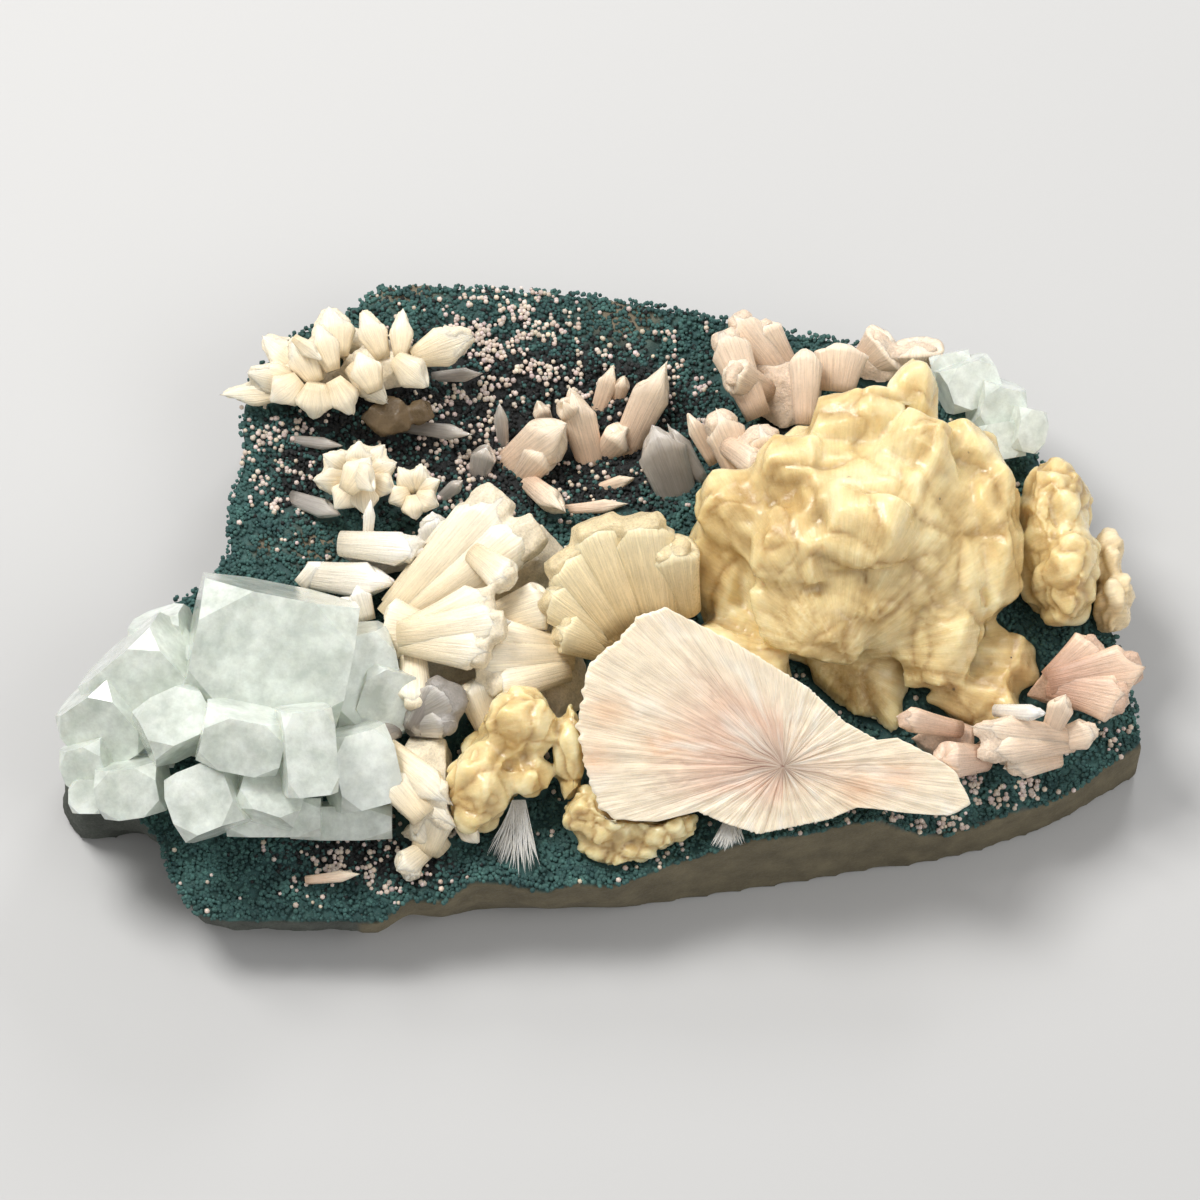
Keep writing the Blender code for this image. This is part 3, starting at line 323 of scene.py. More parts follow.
# Groups of crystals: node, skin, tones of foot and tip, splay, rows, profile
GROUPS = (
    ("golden_sheaf", "honey", ((214, 188, 140), (242, 228, 190)), 0.1, GOLDEN_SHEAF, BLUNT),
    (
        "centre_sheaves", "cream", CREAM, 0.1,
        LONG_SHEAF + BOW_TIE_SHEAF + PALE_SHEAF + WHITE_SHEAF, BLUNT,
    ),
    ("grey_clear_crystals", "grey", GREY, 0, GREY_CLUSTER, POINTED),
    (
        "low_left_crystals", "cream", CREAM, 0.05,
        PALE_LOW_SHEAF + CLEAR_LOW_CRYSTALS + SMALL_CREAM_CRYSTAL, POINTED,
    ),
    ("upper_left_rosette", "cream", CREAM, 0, ROSETTE_PETALS, PETAL),
    ("left_flower", "cream", CREAM, 0, FLOWER_PETALS, PETAL),
    ("small_flower", "cream", CREAM, 0, SMALL_FLOWER_PETALS, PETAL),
    ("left_sheaves", "white", WHITE, 0, WHITE_PRISM + CREAM_SHEAF, POINTED),
    ("upper_right_cluster", "peach", PEACH, 0.15, UPPER_RIGHT_SHEAF + UPPER_RIGHT_COLUMNS, BLUNT),
    ("upper_right_blocks", "peach", PEACH, 0, UPPER_RIGHT_BLOCKS, POINTED),
    ("right_fan", "peach", ((190, 150, 128), (244, 216, 190)), 0.3, RIGHT_FAN, BLUNT),
    ("low_right_sheaf", "peach", PEACH, 0.1, LOW_RIGHT_SHEAF + PINK_BLADES, POINTED),
    ("white_prism_right", "white", ((230, 222, 210), (250, 247, 240)), 0, WHITE_PRISM_RIGHT, POINTED),
    ("striated_pink", "peach", ((206, 172, 148), (236, 210, 188)), 0, STRIATED_PINK, BLUNT),
)


def seen_at(across, up, height):
    """The point at a height over the base that the eye sees at a place in the view."""
    through = AIM + ACROSS * across + UP_THE_VIEW * up
    sight = through - EYE
    point = EYE + sight * ((height - EYE.z) / sight.z)
    return (point + Vector((*CENTRE_SHIFT, 0))) * MM


def ground_height(x, y):
    """Height of the plate's lined face, in millimetres, at a place in millimetres."""
    across = (x - HOLLOW_MIDDLE[0]) / HOLLOW_SIZE[0]
    along = (y - HOLLOW_MIDDLE[1]) / HOLLOW_SIZE[1]
    hollow = HOLLOW_DEPTH * math.exp(-across * across - along * along)
    lumps = LUMP_HEIGHT * noise.noise(Vector((x, y, 0)) / LUMP_SPACING)
    return GROUND_HEIGHT + GROUND_TILT * y - hollow + lumps


def rooted(row):
    """A crystal's row with heights over the lined face at its foot made heights over the base."""
    across, up = row[0:2]
    height = GROUND_HEIGHT
    for _ in range(6):
        spot = seen_at(across, up, height) / MM
        height = ground_height(spot.x, spot.y)
    return (across, up, height + row[2] - ROOT_DEPTH, *row[3:5], height + row[5], *row[6:])


def fan_point(across, up, depth=0.0):
    """A point on the cleaved face of the bow-tie fan, or behind it by a depth."""
    low_up, low_height = FAN_LOW_EDGE
    height = low_height + (up - low_up) * math.cos(EYE_ELEVATION)
    return seen_at(across, up, height) - TOWARD_EYE * (depth * MM)


def in_view(points):
    """Places in metres as across and up the view in millimetres, two arrays."""
    from_eye = points / MM - np.array(EYE) - np.array((*CENTRE_SHIFT, 0.0))
    depth = -(from_eye @ np.array(TOWARD_EYE))
    scale = EYE_DISTANCE / depth
    return (from_eye @ np.array(ACROSS)) * scale, (from_eye @ np.array(UP_THE_VIEW)) * scale


def covering(places, across, up, exp=math.exp):
    """How strongly a table's places cover a place in the view, or with np.exp arrays of places."""
    total = 0.0
    for its_across, its_up, wide, tall, *much in places:
        near = exp(-((across - its_across) / wide) ** 2 - ((up - its_up) / tall) ** 2)
        total = total + near * (much[0] if much else 1)
    return total


def weighed(base, weights, fields):
    """A base value plus each field by its weight."""
    for weight, field in zip(weights, fields):
        base = base + weight * field
    return base


class Shell:
    """Arrays for part of a mesh: points, faces, and per point a tint and a fibre coordinate."""

    def __init__(self, points, corners, sizes, tint, fibre, smooth):
        self.points = np.asarray(points, float).reshape(-1, 3)
        self.corners = np.asarray(corners, int).ravel()
        self.sizes = np.asarray(sizes, int).ravel()
        count = len(self.points)
        self.tint = np.broadcast_to(np.asarray(tint, float), (count, 3)).copy()
        self.fibre = np.broadcast_to(np.asarray(fibre, float), (count, 3)).copy()
        self.smooth = np.full(len(self.sizes), bool(smooth))


def merged(shells):
    """One shell from several."""
    first = 0
    corners = []
    for shell in shells:
        corners.append(shell.corners + first)
        first += len(shell.points)
    whole = Shell(
        np.concatenate([s.points for s in shells]), np.concatenate(corners),
        np.concatenate([s.sizes for s in shells]), np.concatenate([s.tint for s in shells]),
        np.concatenate([s.fibre for s in shells]), False,
    )
    whole.smooth = np.concatenate([s.smooth for s in shells])
    return whole


def mesh_of(name, shell):
    """A mesh from a shell, with its tints and fibre coordinates as attributes."""
    mesh = bpy.data.meshes.new(name)
    mesh.vertices.add(len(shell.points))
    mesh.vertices.foreach_set("co", shell.points.astype(np.float32).ravel())
    mesh.loops.add(len(shell.corners))
    mesh.loops.foreach_set("vertex_index", shell.corners.astype(np.int32))
    mesh.polygons.add(len(shell.sizes))
    starts = np.concatenate(([0], np.cumsum(shell.sizes)[:-1]))
    mesh.polygons.foreach_set("loop_start", starts.astype(np.int32))
    mesh.polygons.foreach_set("loop_total", shell.sizes.astype(np.int32))
    mesh.update(calc_edges=True)
    mesh.polygons.foreach_set("use_smooth", shell.smooth)
    tint = mesh.attributes.new("tint", "FLOAT_COLOR", "POINT")
    solid = np.ones((len(shell.points), 4))
    solid[:, :3] = shell.tint
    tint.data.foreach_set("color", solid.astype(np.float32).ravel())
    fibre = mesh.attributes.new("fibre", "FLOAT_VECTOR", "POINT")
    fibre.data.foreach_set("vector", shell.fibre.astype(np.float32).ravel())
    mesh.validate()
    return mesh


def piece(name, shells, made_of, replaced=()):
    """A shown piece of the specimen, standing for CAD nodes."""
    mesh = mesh_of(name, merged(shells))
    mesh.materials.append(made_of)
    made = bpy.data.objects.new(name, mesh)
    bpy.context.scene.collection.objects.link(made)
    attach(made, "root")
    if replaced:
        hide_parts(*replaced)
    return made


def evaluated(mesh, *settings):
    """A mesh with modifiers applied, each a kind and its settings."""
    holder = bpy.data.objects.new("holder", mesh)
    bpy.context.scene.collection.objects.link(holder)
    for kind, values in settings:
        modifier = holder.modifiers.new(kind.lower(), kind)
        for key, value in values.items():
            setattr(modifier, key, value)
    graph = bpy.context.evaluated_depsgraph_get()
    result = bpy.data.meshes.new_from_object(holder.evaluated_get(graph))
    bpy.data.objects.remove(holder)
    return result


def shell_of(mesh, tint, smooth=True):
    """A shell from a mesh, with normals too, and with its places in millimetres as fibre."""
    count = len(mesh.vertices)
    points = np.empty(count * 3, np.float32)
    mesh.vertices.foreach_get("co", points)
    corners = np.empty(len(mesh.loops), np.int32)
    mesh.loops.foreach_get("vertex_index", corners)
    sizes = np.empty(len(mesh.polygons), np.int32)
    mesh.polygons.foreach_get("loop_total", sizes)
    normals = np.empty(count * 3, np.float32)
    mesh.vertex_normals.foreach_get("vector", normals)
    shell = Shell(points, corners, sizes, tint, (0, 0, 0), smooth)
    shell.normals = normals.reshape(-1, 3).astype(float)
    shell.fibre = shell.points / MM
    return shell


def close_copy(solid, voxel, passes, tint):
    """A rounded copy of a CAD solid in even small faces."""
    mesh = evaluated(
        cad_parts[solid].data.copy(),
        ("REMESH", {"mode": "VOXEL", "voxel_size": voxel * MM}),
        ("SMOOTH", {"factor": 0.5, "iterations": passes}),
    )
    return shell_of(mesh, tint)


def lobes(points, size, seed):
    """Rounded lobes with creases between: 0 in a crease, up to 1 on a lobe's top."""
    out = np.empty(len(points))
    for i, point in enumerate(points / (size * MM) + seed):
        near = noise.voronoi(Vector(point))[0]
        out[i] = min(1.0, (near[1] - near[0]) * 1.6)
    return out ** 0.6


def clouds(points, size, seed):
    """Soft noise from -1 to 1."""
    return np.array([noise.noise(Vector(point)) for point in points / (size * MM) + seed])


def crystal(row, profile, draw, colours, splay=0.0):
    """A waxy crystal with a worn edge, a wedge end and fine lines along it."""
    foot = seen_at(*row[0:3])
    tip = seen_at(*row[3:6])
    width, thickness = row[6] * MM, row[7] * MM
    length = (tip - foot).length
    along = (tip - foot).normalized()
    broad = TOWARD_EYE - along * TOWARD_EYE.dot(along)
    broad = Matrix.Rotation(math.radians(row[8]), 3, along) @ broad.normalized()
    side = np.array(along.cross(broad))
    along, broad, foot = np.array(along), np.array(broad), np.array(foot)
    low, high = colours
    stops = [p[0] for p in profile]
    wides = [p[1] for p in profile]
    thicks = [p[2] for p in profile]
    wedge = BLUNT_WEDGE if profile is BLUNT else WEDGE
    seed = draw.uniform(0, 90)
    bend = draw.uniform(-CRYSTAL_BEND, CRYSTAL_BEND) * length
    points, tints, fibres = [], [], []
    for share, close in CRYSTAL_RINGS:
        wide = np.interp(share, stops, wides) * (1 + splay * share)
        thick = np.interp(share, stops, thicks)
        for k in range(CRYSTAL_SIDES):
            turn = math.tau * k / CRYSTAL_SIDES
            u = math.copysign(abs(math.cos(turn)) ** SQUARENESS, math.cos(turn))
            v = math.copysign(abs(math.sin(turn)) ** SQUARENESS, math.sin(turn))
            line = noise.noise(Vector((seed + u * row[6] * 0.9, share * 1.2, v * 0.7)))
            broken = noise.noise(Vector((seed + u * row[6] * 0.35, v * 1.5, 7.0)))
            reach = share * (1 - wedge * u * u * share - RAGGED_END * (0.5 + broken) * share)
            outward = v * close * 0.5 * thick * thickness * (1 - 0.25 * u * u)
            middle = foot + along * (length * reach) + side * (u * close * 0.5 * width * wide)
            facing = 1 if v > 0 else -1
            middle = middle + broad * (outward + LINE_RELIEF * MM * line * close * facing)
            points.append(middle + side * (bend * share * share))
            pale = share ** 1.5
            tints.append((low * (1 - pale) + high * pale) * (1 + 0.05 * line))
            fibres.append((seed + u * row[6] * 0.8, 0.06 * length * share / MM, v * 2))
    sides, rings = CRYSTAL_SIDES, len(CRYSTAL_RINGS)
    corners, sizes = [], []
    for r in range(rings - 1):
        for i in range(sides):
            j = (i + 1) % sides
            corners += [r * sides + i, r * sides + j, (r + 1) * sides + j, (r + 1) * sides + i]
            sizes.append(4)
    corners += [*range(sides - 1, -1, -1)] + [(rings - 1) * sides + i for i in range(sides)]
    sizes += [sides, sides]
    return Shell(points, corners, sizes, tints, fibres, True)


def fine_copy(solid, tint, voxel=0.8, shrink=0.45, passes=3):
    """What a group of crystals stands in: the CAD solid, drawn in a little and roughened."""
    shell = close_copy(solid, voxel, passes, tint)
    rough = clouds(shell.points, 2.2, 5.0)
    shell.points += shell.normals * ((-shrink + 0.25 * rough) * MM)[:, None]
    shell.tint *= (0.92 + 0.16 * rough)[:, None]
    return shell


def rolled(solid, voxel, big, small, colours, seed):
    """A waxy mass of overlapping lobes over a CAD solid, painted pale on lobe tops as highlight and
    dark in creases as shade.
    """
    shell = close_copy(solid, voxel, 6, (1, 1, 1))
    wander = [clouds(shell.points, big * 0.7, seed + k * 17) for k in range(3)]
    warp = np.stack(wander, 1) * (0.45 * big * MM)
    broad = lobes(shell.points + warp, big, seed)
    fine = lobes(shell.points + warp * 0.7, small, seed + 7)
    soft = clouds(shell.points, big * 1.4, seed + 3)
    across, up = in_view(shell.points)
    angle = np.arctan2(up - STREAK_MIDDLE[1], across - STREAK_MIDDLE[0])
    reach = np.hypot(up - STREAK_MIDDLE[1], across - STREAK_MIDDLE[0])
    streak_places = np.stack((angle * 16, reach * 0.10, np.zeros(len(angle))), 1)
    streaks = np.array([noise.noise(Vector(p)) for p in streak_places])
    out = weighed(*WAX_RELIEF, (broad, fine, soft, streaks))
    shell.points += shell.normals * (out * MM)[:, None]
    low, middle, high = colours
    # Painted light: lobe tops are painted pale as highlight and creases dark as shade; clouds and
    # streaks vary the tone
    share = np.clip(weighed(*WAX_TONE_AND_PAINTED_LIGHT, (broad, soft, fine, streaks)), 0, 1)[:, None]
    shell.tint = np.where(
        share < 0.5, low + (middle - low) * share * 2, middle + (high - middle) * (share * 2 - 1)
    )
    shell.fibre = streak_places * (2.2, 1, 1)
    return shell


def fan_edge(angles):
    """Where the fan's outline stands at angles around its centre, across and up the view."""
    centre = np.array(FAN_CENTRE)
    outline = np.array(FAN_OUTLINE, float)
    turns = np.arctan2(outline[:, 1] - centre[1], outline[:, 0] - centre[0])
    order = np.argsort(turns)
    turns, outline = turns[order], outline[order]
    closed_turns = np.concatenate((turns[-1:] - 2 * math.pi, turns, turns[:1] + 2 * math.pi))
    closed = np.concatenate((outline[-1:], outline, outline[:1]))
    return np.interp(angles, closed_turns, closed[:, 0]), np.interp(angles, closed_turns, closed[:, 1])


def fan_colour(angle, share, x, y):
    """The fan's colour at an angle, a share of the way out and a place in the view."""
    bend = 0.12 * noise.noise(Vector((x / 6.0, y / 6.0, 4.0)))
    fine = noise.noise(Vector(((angle + bend) * 26, share * 2.6, 3)))
    band = noise.noise(Vector(((angle + bend) * 6, share * 2.2, 9)))
    inner = math.exp(-(share / FAN_HEART) ** 2)
    blush = math.exp(-((share - FAN_BLUSH[0]) / FAN_BLUSH[1]) ** 2)
    rosy = blush * (0.6 if x < FAN_CENTRE[0] else 0.2)
    colour = FAN_CREAM * (1 - rosy) + FAN_ROSE * rosy
    stain = min(1.0, covering(FAN_STAINS, x, y) * (0.5 + 0.8 * max(0, band + 0.3)))
    colour = colour * (1 - 0.6 * stain) + FAN_ORANGE * 0.6 * stain
    dark = min(1.0, inner * (0.35 + 1.2 * abs(fine)) + max(0, -fine - 0.15) * (1 - share))
    colour = colour * (1 - dark) + FAN_PURPLE * dark
    white = min(0.6, max(0, fine - 0.15) * 0.4 + max(0, band - 0.1) * 1.1)
    return colour * (1 - white) + FAN_WHITE * white


def fan_relief(angle, share, x, y):
    """Depth of the cleaved face behind its plane, in millimetres: fibres, ridges and steps."""
    fibre = noise.noise(Vector((angle * 40, share * 1.5, 0)))
    ridge = noise.noise(Vector((angle * 9, share * 0.8, 5)))
    cross = noise.noise(Vector((x / 3.0, y / 3.0, 2.0)))
    return 0.5 * min(1, share * 3) * (fibre * 0.4 + ridge * 1.0 + cross * 0.5) + 0.6


def fan_shell():
    """The bow-tie fan's cleaved face, its fibres and its back."""
    centre = np.array(FAN_CENTRE)
    angles = np.linspace(-math.pi, math.pi, FAN_FIBRES, endpoint=False)
    edge_x, edge_y = fan_edge(angles)
    points, tints, fibres = [], [], []
    layers = [(share, 0.0) for share in np.linspace(0.02, 1.0, FAN_RINGS)] + [*FAN_BACK]
    for share, depth in layers:
        for angle, ex, ey in zip(angles, edge_x, edge_y):
            jag = 1 - FAN_JAG * share * (0.5 + 0.5 * noise.noise(Vector((angle * 30, 1, 1))))
            x = centre[0] + (ex - centre[0]) * share * jag
            y = centre[1] + (ey - centre[1]) * share * jag
            relief = 0 if depth else fan_relief(angle, share, x, y)
            points.append(fan_point(x, y, depth + relief))
            tints.append(fan_colour(angle, share, x, y))
            fibres.append((angle * 60, share * 3, 0))
    count = len(angles)
    corners, sizes = [], []
    for r in range(len(layers) - 1):
        for i in range(count):
            j = (i + 1) % count
            corners += [r * count + i, (r + 1) * count + i, (r + 1) * count + j, r * count + j]
            sizes.append(4)
    points.append(fan_point(*FAN_CENTRE, 0.7))
    points.append(fan_point(*FAN_CENTRE, FAN_THICKNESS - 1))
    tints += [FAN_PURPLE, FAN_CREAM]
    fibres += [(0, 0, 0), (0, 0, 0)]
    last = (len(layers) - 1) * count
    for i in range(count):
        j = (i + 1) % count
        corners += [i, j, len(points) - 2, last + j, last + i, len(points) - 1]
        sizes += [3, 3]
    return Shell(points, corners, sizes, tints, fibres, True)


def spheres(places, sizes, tints):
    """Many small round grains as one shell."""
    shape = bmesh.new()
    bmesh.ops.create_icosphere(shape, subdivisions=1, radius=1.0)
    ball = np.array([vert.co for vert in shape.verts])
    faces = np.array([[vert.index for vert in face.verts] for face in shape.faces])
    shape.free()
    places = np.asarray(places, float)
    sizes = np.asarray(sizes, float)
    points = (places[:, None, :] + ball[None] * sizes[:, None, None]).reshape(-1, 3)
    offsets = (np.arange(len(places)) * len(ball))[:, None, None]
    corners = (faces[None] + offsets).ravel()
    tint = np.repeat(np.asarray(tints, float), len(ball), axis=0)
    return Shell(points, corners, np.full(len(corners) // 3, 3), tint, (0, 0, 0), True)


def needle(foot, tip, radius):
    """A thin three-sided fibre."""
    along = (tip - foot).normalized()
    side = along.orthogonal().normalized()
    points = []
    for middle, size in ((foot, radius), (foot.lerp(tip, 0.8), radius * 0.8)):
        for k in range(3):
            points.append(middle + Matrix.Rotation(k * math.tau / 3, 3, along) @ side * size)
    points.append(tip)
    corners = [0, 1, 4, 3, 1, 2, 5, 4, 2, 0, 3, 5, 3, 4, 6, 4, 5, 6, 5, 3, 6, 2, 1, 0]
    return points, corners, [4, 4, 4, 3, 3, 3, 3]


def needles(rows, tint):
    """Fibres from rows of foot, tip and radius, as one shell."""
    shells = []
    for foot, tip, radius in rows:
        points, corners, sizes = needle(foot, tip, radius)
        shells.append(Shell(points, corners, sizes, tint, (0, 0, 0), False))
    return merged(shells)


def node(tree, kind, settings=None, **inputs):
    """A shader node with its settings and the values of its inputs."""
    made = tree.nodes.new(kind)
    for key, value in (settings or {}).items():
        setattr(made, key, value)
    for key, value in inputs.items():
        made.inputs[key.replace("_", " ")].default_value = value
    return made


def ranged(tree, source, low, high, least, most):
    """Values of an output from low to high spread between least and most."""
    made = node(
        tree, "ShaderNodeMapRange", From_Min=low, From_Max=high, To_Min=least, To_Max=most
    )
    tree.links.new(source, made.inputs["Value"])
    return made.outputs["Result"]


def surface(
    name, roughness, subsurface=0.0, reach=0.004, streak=0.0, grain=0.0, spread=0.12, coat=0.0,
    transmission=0.0, speckle=None, ior=1.5, veiled=False
):
    """A material painted by the tint attribute, clouded, streaked along the fibre and bumped."""
    made = bpy.data.materials.new(name)
    made.use_nodes = True
    tree = made.node_tree
    shader = tree.nodes["Principled BSDF"]
    shader.inputs["Roughness"].default_value = roughness
    shader.inputs["IOR"].default_value = ior
    shader.inputs["Subsurface Weight"].default_value = subsurface
    shader.inputs["Subsurface Radius"].default_value = (1.0, 0.85, 0.65)
    shader.inputs["Subsurface Scale"].default_value = reach
    shader.inputs["Coat Weight"].default_value = coat
    shader.inputs["Coat Roughness"].default_value = 0.2
    shader.inputs["Transmission Weight"].default_value = transmission
    shader.inputs["Specular IOR Level"].default_value = 0.4
    link = tree.links.new
    tint = node(tree, "ShaderNodeAttribute", {"attribute_name": "tint"})
    place = node(tree, "ShaderNodeTexCoord")
    fibre = node(tree, "ShaderNodeAttribute", {"attribute_name": "fibre"})
    cloud = node(tree, "ShaderNodeTexNoise", Scale=180.0, Detail=5.0, Roughness=0.6)
    lines = node(tree, "ShaderNodeTexNoise", Scale=1.6, Detail=4.0, Roughness=0.65)
    grit = node(tree, "ShaderNodeTexNoise", Scale=1500.0, Detail=3.0, Roughness=0.6)
    link(place.outputs["Object"], cloud.inputs["Vector"])
    link(place.outputs["Object"], grit.inputs["Vector"])
    link(fibre.outputs["Vector"], lines.inputs["Vector"])
    shade = ranged(tree, cloud.outputs["Fac"], 0.3, 0.7, 1 - spread, 1 + spread)
    line_shade = ranged(
        tree, lines.outputs["Fac"], 0.3, 0.7, 1 - streak * 0.5, 1 + streak * 0.3
    )
    both = node(tree, "ShaderNodeMath", {"operation": "MULTIPLY"})
    link(shade, both.inputs[0])
    link(line_shade, both.inputs[1])
    paint = node(tree, "ShaderNodeVectorMath", {"operation": "SCALE"})
    link(tint.outputs["Color"], paint.inputs[0])
    link(both.outputs[0], paint.inputs["Scale"])
    colour = paint.outputs[0]
    if speckle:
        size, share, speck_colour = speckle
        cells = node(tree, "ShaderNodeTexNoise", Scale=size, Detail=2.0, Roughness=0.7)
        link(place.outputs["Object"], cells.inputs["Vector"])
        gate = ranged(tree, cells.outputs["Fac"], share, share + 0.06, 0.0, 1.0)
        mix = node(tree, "ShaderNodeMix", {"data_type": "RGBA"})
        mix.inputs[MIX_SECOND].default_value = (*speck_colour, 1)
        link(gate, mix.inputs[MIX_FACTOR])
        link(colour, mix.inputs[MIX_FIRST])
        colour = mix.outputs[MIXED]
    link(colour, shader.inputs["Base Color"])
    if veiled:
        veils = node(tree, "ShaderNodeTexNoise", Scale=90.0, Detail=6.0, Roughness=0.7)
        link(place.outputs["Object"], veils.inputs["Vector"])
        clear = ranged(
            tree, veils.outputs["Fac"], 0.36, 0.64, transmission, transmission * 0.4
        )
        link(clear, shader.inputs["Transmission Weight"])
    rough = ranged(
        tree, grit.outputs["Fac"], 0.3, 0.7, roughness * 0.75, min(1, roughness * 1.3)
    )
    link(rough, shader.inputs["Roughness"])
    first = node(tree, "ShaderNodeBump", Strength=grain, Distance=0.0004)
    link(grit.outputs["Fac"], first.inputs["Height"])
    second = node(tree, "ShaderNodeBump", Strength=min(1.0, streak * 1.2), Distance=0.0006)
    link(lines.outputs["Fac"], second.inputs["Height"])
    link(first.outputs["Normal"], second.inputs["Normal"])
    link(second.outputs["Normal"], shader.inputs["Normal"])
    return made


def matrix_shell():
    """The basalt plate: lined face, sawn front, broken sides."""
    shell = close_copy("basalt_matrix", 1.35, 2, (1, 1, 1))
    across, up = in_view(shell.points)
    normal = shell.normals
    top = normal[:, 2] > 0.55
    sawn = (normal[:, 2] < 0.45) & (normal[:, 1] < -0.25) & (across > SAWN_FROM)
    bumps = lobes(shell.points, 3.2, 2.0)
    rough = clouds(shell.points, 6.0, 4.0)
    fine = clouds(shell.points, 1.8, 8.0)
    sides_out = np.where(
        sawn, weighed(*SAWN_RELIEF, (fine,)), weighed(*BROKEN_RELIEF, (rough, fine))
    )
    out = np.where(top, weighed(*LINED_RELIEF, (bumps, rough)), sides_out)
    shell.points += normal * (out * MM)[:, None]
    patch = clouds(shell.points, 14.0, 6.0)
    # Painted shade: the lined face is painted black in the shade places, plus dark patches at random
    dark = covering(PAINTED_SHADE_PLACES, across, up, np.exp)
    dark = np.clip(dark * 1.3 + 0.35 * patch, 0, 1)[:, None]
    paleness = np.clip(0.35 + 0.6 * patch + 0.3 * fine, 0, 1)[:, None]
    green = CELADONITE + (CELADONITE_PALE - CELADONITE) * paleness
    lined = green * (1 - dark) + PAINTED_SHADE_BLACK * dark
    stone = SAWN_BASALT * (1 + 0.12 * patch + 0.1 * fine)[:, None]
    broken = BROKEN_BASALT * (1 + 0.3 * rough + 0.2 * fine)[:, None]
    shell.tint = np.where(top[:, None], lined, np.where(sawn[:, None], stone, broken))
    bare = covering(BARE_PLACES, across, up, np.exp)
    bare = (np.clip(bare * 1.6, 0, 1) * top)[:, None]
    shell.tint = shell.tint * (1 - bare) + BARE_BASALT * bare
    return shell


def grain_places(count, draw, box):
    """Places and normals on the lined face, open to the sky or to the eye."""
    covers = []
    for name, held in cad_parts.items():
        verts = [v.co.copy() for v in held.data.vertices]
        tree = BVHTree.FromPolygons(verts, [tuple(p.vertices) for p in held.data.polygons])
        if name == "basalt_matrix":
            plate_tree = tree
        else:
            covers.append(tree)
    low, high = box
    overhead = Vector((0, 0, 1))
    found = []
    while len(found) < count:
        spot = Vector((draw.uniform(low.x, high.x), draw.uniform(low.y, high.y), 0.2))
        hit, normal, _, _ = plate_tree.ray_cast(spot, -overhead)
        if hit is None or normal.z < STEEPEST_LINED:
            continue
        start = hit + normal * (0.3 * MM)
        hidden = any(tree.ray_cast(start, overhead)[0] is not None for tree in covers)
        if hidden and any(tree.ray_cast(start, TOWARD_EYE)[0] is not None for tree in covers):
            continue
        found.append((hit, normal))
    return found


def grains(plate_box):
    """Celadonite grains and the pale grains among them, two shells."""
    draw = random.Random(5)
    green_places, green_sizes, green_tints = [], [], []
    pale_places, pale_sizes, pale_tints = [], [], []
    for hit, normal in grain_places(GRAIN_COUNT, draw, plate_box):
        across, up = (float(v[0]) for v in in_view(np.array([hit])))
        size = draw.uniform(*GRAIN_RADII) * MM
        if min(hit.x - plate_box[0].x, plate_box[1].x - hit.x) < size * 2:
            continue
        if min(hit.y - plate_box[0].y, plate_box[1].y - hit.y) < size * 2:
            continue
        dark = covering(PAINTED_SHADE_PLACES, across, up)
        pale = covering(PALE_PLACES, across, up)
        cluster = noise.noise(Vector((hit.x, hit.y, 0)) / (5 * MM))
        if draw.random() < pale * (0.35 + 1.3 * cluster):
            pale_places.append(hit + normal * (0.25 * MM))
            pale_sizes.append(draw.uniform(*PALE_RADII) * MM)
            tint = PALE_GRAIN * draw.uniform(0.7, 1.1)
            pale_tints.append(tint * (1, draw.uniform(0.9, 1), draw.uniform(0.85, 1)))
            continue
        # Painted shade: grains in the shade places are painted black
        if draw.random() < min(0.75, dark * 0.8):
            green_tints.append(PAINTED_SHADE_BLACK * draw.uniform(0.6, 1.6))
        else:
            share = min(1, max(0, 0.4 + 0.5 * cluster + draw.uniform(-0.3, 0.3)))
            tint = CELADONITE + (CELADONITE_PALE - CELADONITE) * share
            green_tints.append(tint * draw.uniform(0.75, 1.15))
        green_places.append(hit - normal * (0.1 * MM))
        green_sizes.append(size)
    shells = []
    for held in range(GRAIN_PIECES):
        own = slice(held, None, GRAIN_PIECES)
        shells.append(spheres(green_places[own], green_sizes[own], green_tints[own]))
    return shells, spheres(pale_places, pale_sizes, pale_tints)


def light(name, size, power, place, colour):
    """A square light that looks at the specimen."""
    lamp = bpy.data.lights.new(name, "AREA")
    lamp.size = size
    lamp.energy = power
    lamp.color = colour
    made = bpy.data.objects.new(name, lamp)
    made.location = place
    made.rotation_euler = (LIT_PLACE - Vector(place)).to_track_quat("-Z", "Y").to_euler()
    bpy.context.scene.collection.objects.link(made)


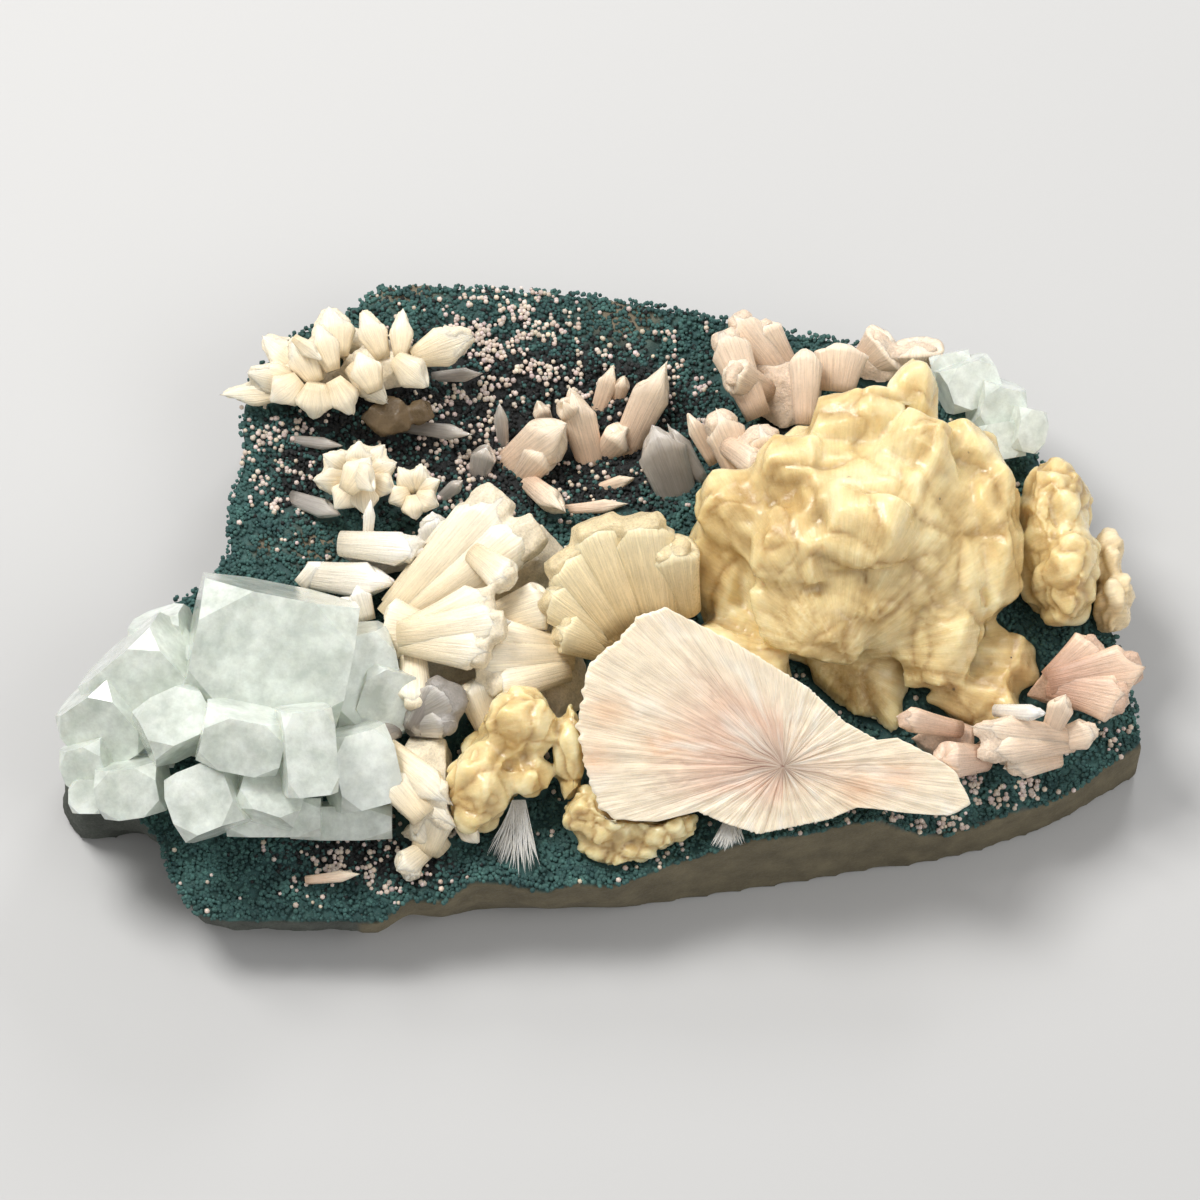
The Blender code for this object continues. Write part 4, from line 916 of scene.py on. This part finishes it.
def studio():
    """Floor, soft lights and the camera."""
    shape = bmesh.new()
    bmesh.ops.create_grid(shape, x_segments=8, y_segments=8, size=3.0)
    mesh = bpy.data.meshes.new("floor")
    shape.to_mesh(mesh)
    shape.free()
    floor = bpy.data.objects.new("floor", mesh)
    bpy.context.scene.collection.objects.link(floor)
    paper = bpy.data.materials.new("paper")
    paper.use_nodes = True
    tree = paper.node_tree
    shader = tree.nodes["Principled BSDF"]
    shader.inputs["Roughness"].default_value = 0.9
    shader.inputs["Specular IOR Level"].default_value = 0.1
    fleck = node(tree, "ShaderNodeTexNoise", Scale=8.0, Detail=3.0)
    tone = node(tree, "ShaderNodeMapRange", To_Min=0.5, To_Max=0.53)
    tree.links.new(fleck.outputs["Fac"], tone.inputs["Value"])
    tree.links.new(tone.outputs["Result"], shader.inputs["Base Color"])
    floor.data.materials.append(paper)
    world = bpy.data.worlds.new("soft_room")
    world.use_nodes = True
    sky = world.node_tree.nodes["Background"]
    sky.inputs["Color"].default_value = (1, 0.99, 0.97, 1)
    sky.inputs["Strength"].default_value = 0.45
    bpy.context.scene.world = world
    for row in LIGHTS:
        light(*row)
    lens = bpy.data.cameras.new("camera")
    lens.sensor_width = SENSOR_WIDTH
    lens.lens = SENSOR_WIDTH * EYE_DISTANCE / VIEW_WIDTH
    lens.clip_start = 0.01
    camera = bpy.data.objects.new("camera", lens)
    camera.location = (EYE + Vector((*CENTRE_SHIFT, 0))) * MM
    camera.rotation_euler = (math.pi / 2 - EYE_ELEVATION, 0, 0)
    bpy.context.scene.collection.objects.link(camera)
    bpy.context.scene.camera = camera
    bpy.context.scene.view_settings.view_transform = "Standard"


def bevelled(name, tint, width):
    """A CAD solid with its sharp edges worn."""
    mesh = evaluated(
        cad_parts[name].data.copy(),
        ("BEVEL", {"width": width * MM, "segments": 2, "limit_method": "ANGLE", "angle_limit": 0.35}),
    )
    shell = shell_of(mesh, tint, False)
    haze = clouds(shell.points, 9.0, 11.0)
    shell.tint *= (1 + 0.08 * haze)[:, None]
    return shell


def skins():
    """All materials of the specimen by short names."""
    return {
        "stone": surface(
            "matrix_rock", 0.85, grain=0.6, spread=0.25, speckle=(2600.0, 0.66, STONE_SPECK)
        ),
        "grain": surface("celadonite_grains", 0.8, grain=0.4, spread=0.25),
        "pale": surface("pale_grains", 0.5, 0.3, 0.0006, grain=0.3, spread=0.2),
        "golden": surface(
            "golden_wax", 0.22, 0.85, 0.005, streak=0.18, grain=0.4, spread=0.1, coat=0.3,
            speckle=(230.0, 0.745, STAIN_SPECK)
        ),
        "honey": surface(
            "honey_pearl", 0.3, 0.35, 0.0005, streak=0.45, grain=0.2, spread=0.08, coat=0.15
        ),
        "cream": surface(
            "cream_pearl", 0.3, 0.35, 0.0005, streak=0.4, grain=0.15, spread=0.06, coat=0.1
        ),
        "peach": surface(
            "peach_pearl", 0.3, 0.35, 0.0005, streak=0.45, grain=0.15, spread=0.08, coat=0.1
        ),
        "grey": surface(
            "grey_clear", 0.2, 0.3, 0.0005, streak=0.35, grain=0.1, spread=0.1, coat=0.1,
            transmission=0.35
        ),
        "white": surface(
            "white_pearl", 0.28, 0.35, 0.0005, streak=0.4, grain=0.1, spread=0.05, coat=0.1
        ),
        "silk": surface(
            "fan_silk", 0.34, 0.45, 0.002, streak=0.4, grain=0.2, spread=0.06, coat=0.2
        ),
        "glass": surface(
            "apophyllite_ice", 0.06, 0.3, 0.004, grain=0.1, spread=0.07, coat=0.3,
            transmission=0.5, ior=1.535, veiled=True
        ),
    }


def spray(draw, middle, ends, low):
    """Fibres that spread from a middle to a row of ends at a height."""
    rows = []
    for _ in range(SPRAY_FIBRES):
        k = draw.uniform(0, len(ends) - 1.001)
        first, second = ends[int(k)], ends[int(k) + 1]
        share = k - int(k)
        x = first[0] * (1 - share) + second[0] * share
        y = first[1] * (1 - share) + second[1] * share
        reach = draw.uniform(0.6, 1.0)
        foot = seen_at(middle[0] + draw.uniform(-1, 2), middle[1], middle[2])
        tip = foot.lerp(seen_at(x, y, low + draw.uniform(-0.5, 1.2)), reach)
        rows.append((foot, tip, FIBRE_RADIUS * MM))
    return needles(rows, SPRAY_TONE)


def build():
    """All pieces of the specimen over the CAD nodes."""
    draw = random.Random(11)
    skin_of = skins()
    piece("basalt_plate", [matrix_shell()], skin_of["stone"], ["basalt_matrix"])
    green_grains, pale_grains = grains(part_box("basalt_matrix"))
    for held, shell in enumerate(green_grains):
        piece(f"celadonite_lining_{held + 1}", [shell], skin_of["grain"])
    piece("pale_grain_crust", [pale_grains], skin_of["pale"])

    for name, voxel, big, small, seed in ROLLED:
        pale = name == "far_right_column"
        # The waxy masses' tones hold painted shade for creases and painted highlight for lobe tops
        tones, skin = (CREAM_SHADE_TO_HIGHLIGHT, "cream") if pale else (GOLD_SHADE_TO_HIGHLIGHT, "golden")
        mass = rolled(name, voxel, big, small, tones, seed)
        piece(name + "_skin", [mass], skin_of[skin], [name])
    piece("fan_face", [fan_shell()], skin_of["silk"], ["bow_tie_fan"])
    for name, skin, tones, splay, rows, profile in GROUPS:
        low, high = (srgb(*tone) for tone in tones)
        shells = [fine_copy(name, (low + high) / 2)]
        shells += [crystal(row, profile, draw, (low, high), splay) for row in rows]
        piece(name + "_crystals", shells, skin_of[skin], [name])
    for name, rows in LONE_BLADES:
        kind = "grey" if name.startswith("grey") else "peach"
        low, high = (srgb(*tone) for tone in LONE_TONES[kind])
        shells = [crystal(rooted(row), POINTED, draw, (low, high)) for row in rows]
        piece(name + "_plates", shells, skin_of[kind], [name])
    for name in ("apophyllite_cluster", "top_right_apophyllite"):
        blocks = bevelled(name, APOPHYLLITE_TONE, 0.5)
        piece(name + "_blocks", [blocks], skin_of["glass"], [name])
    druse = fine_copy("druse", DRUSE_TONE, 0.6, 0.0, 1)
    piece("druse_points", [druse], skin_of["grey"], ["druse"])
    for name, middle, ends, low in FIBRE_SPRAYS:
        fibres = spray(draw, middle, ends, low)
        piece(name + "_fibres", [fibres], skin_of["white"], [name])


build()
studio()
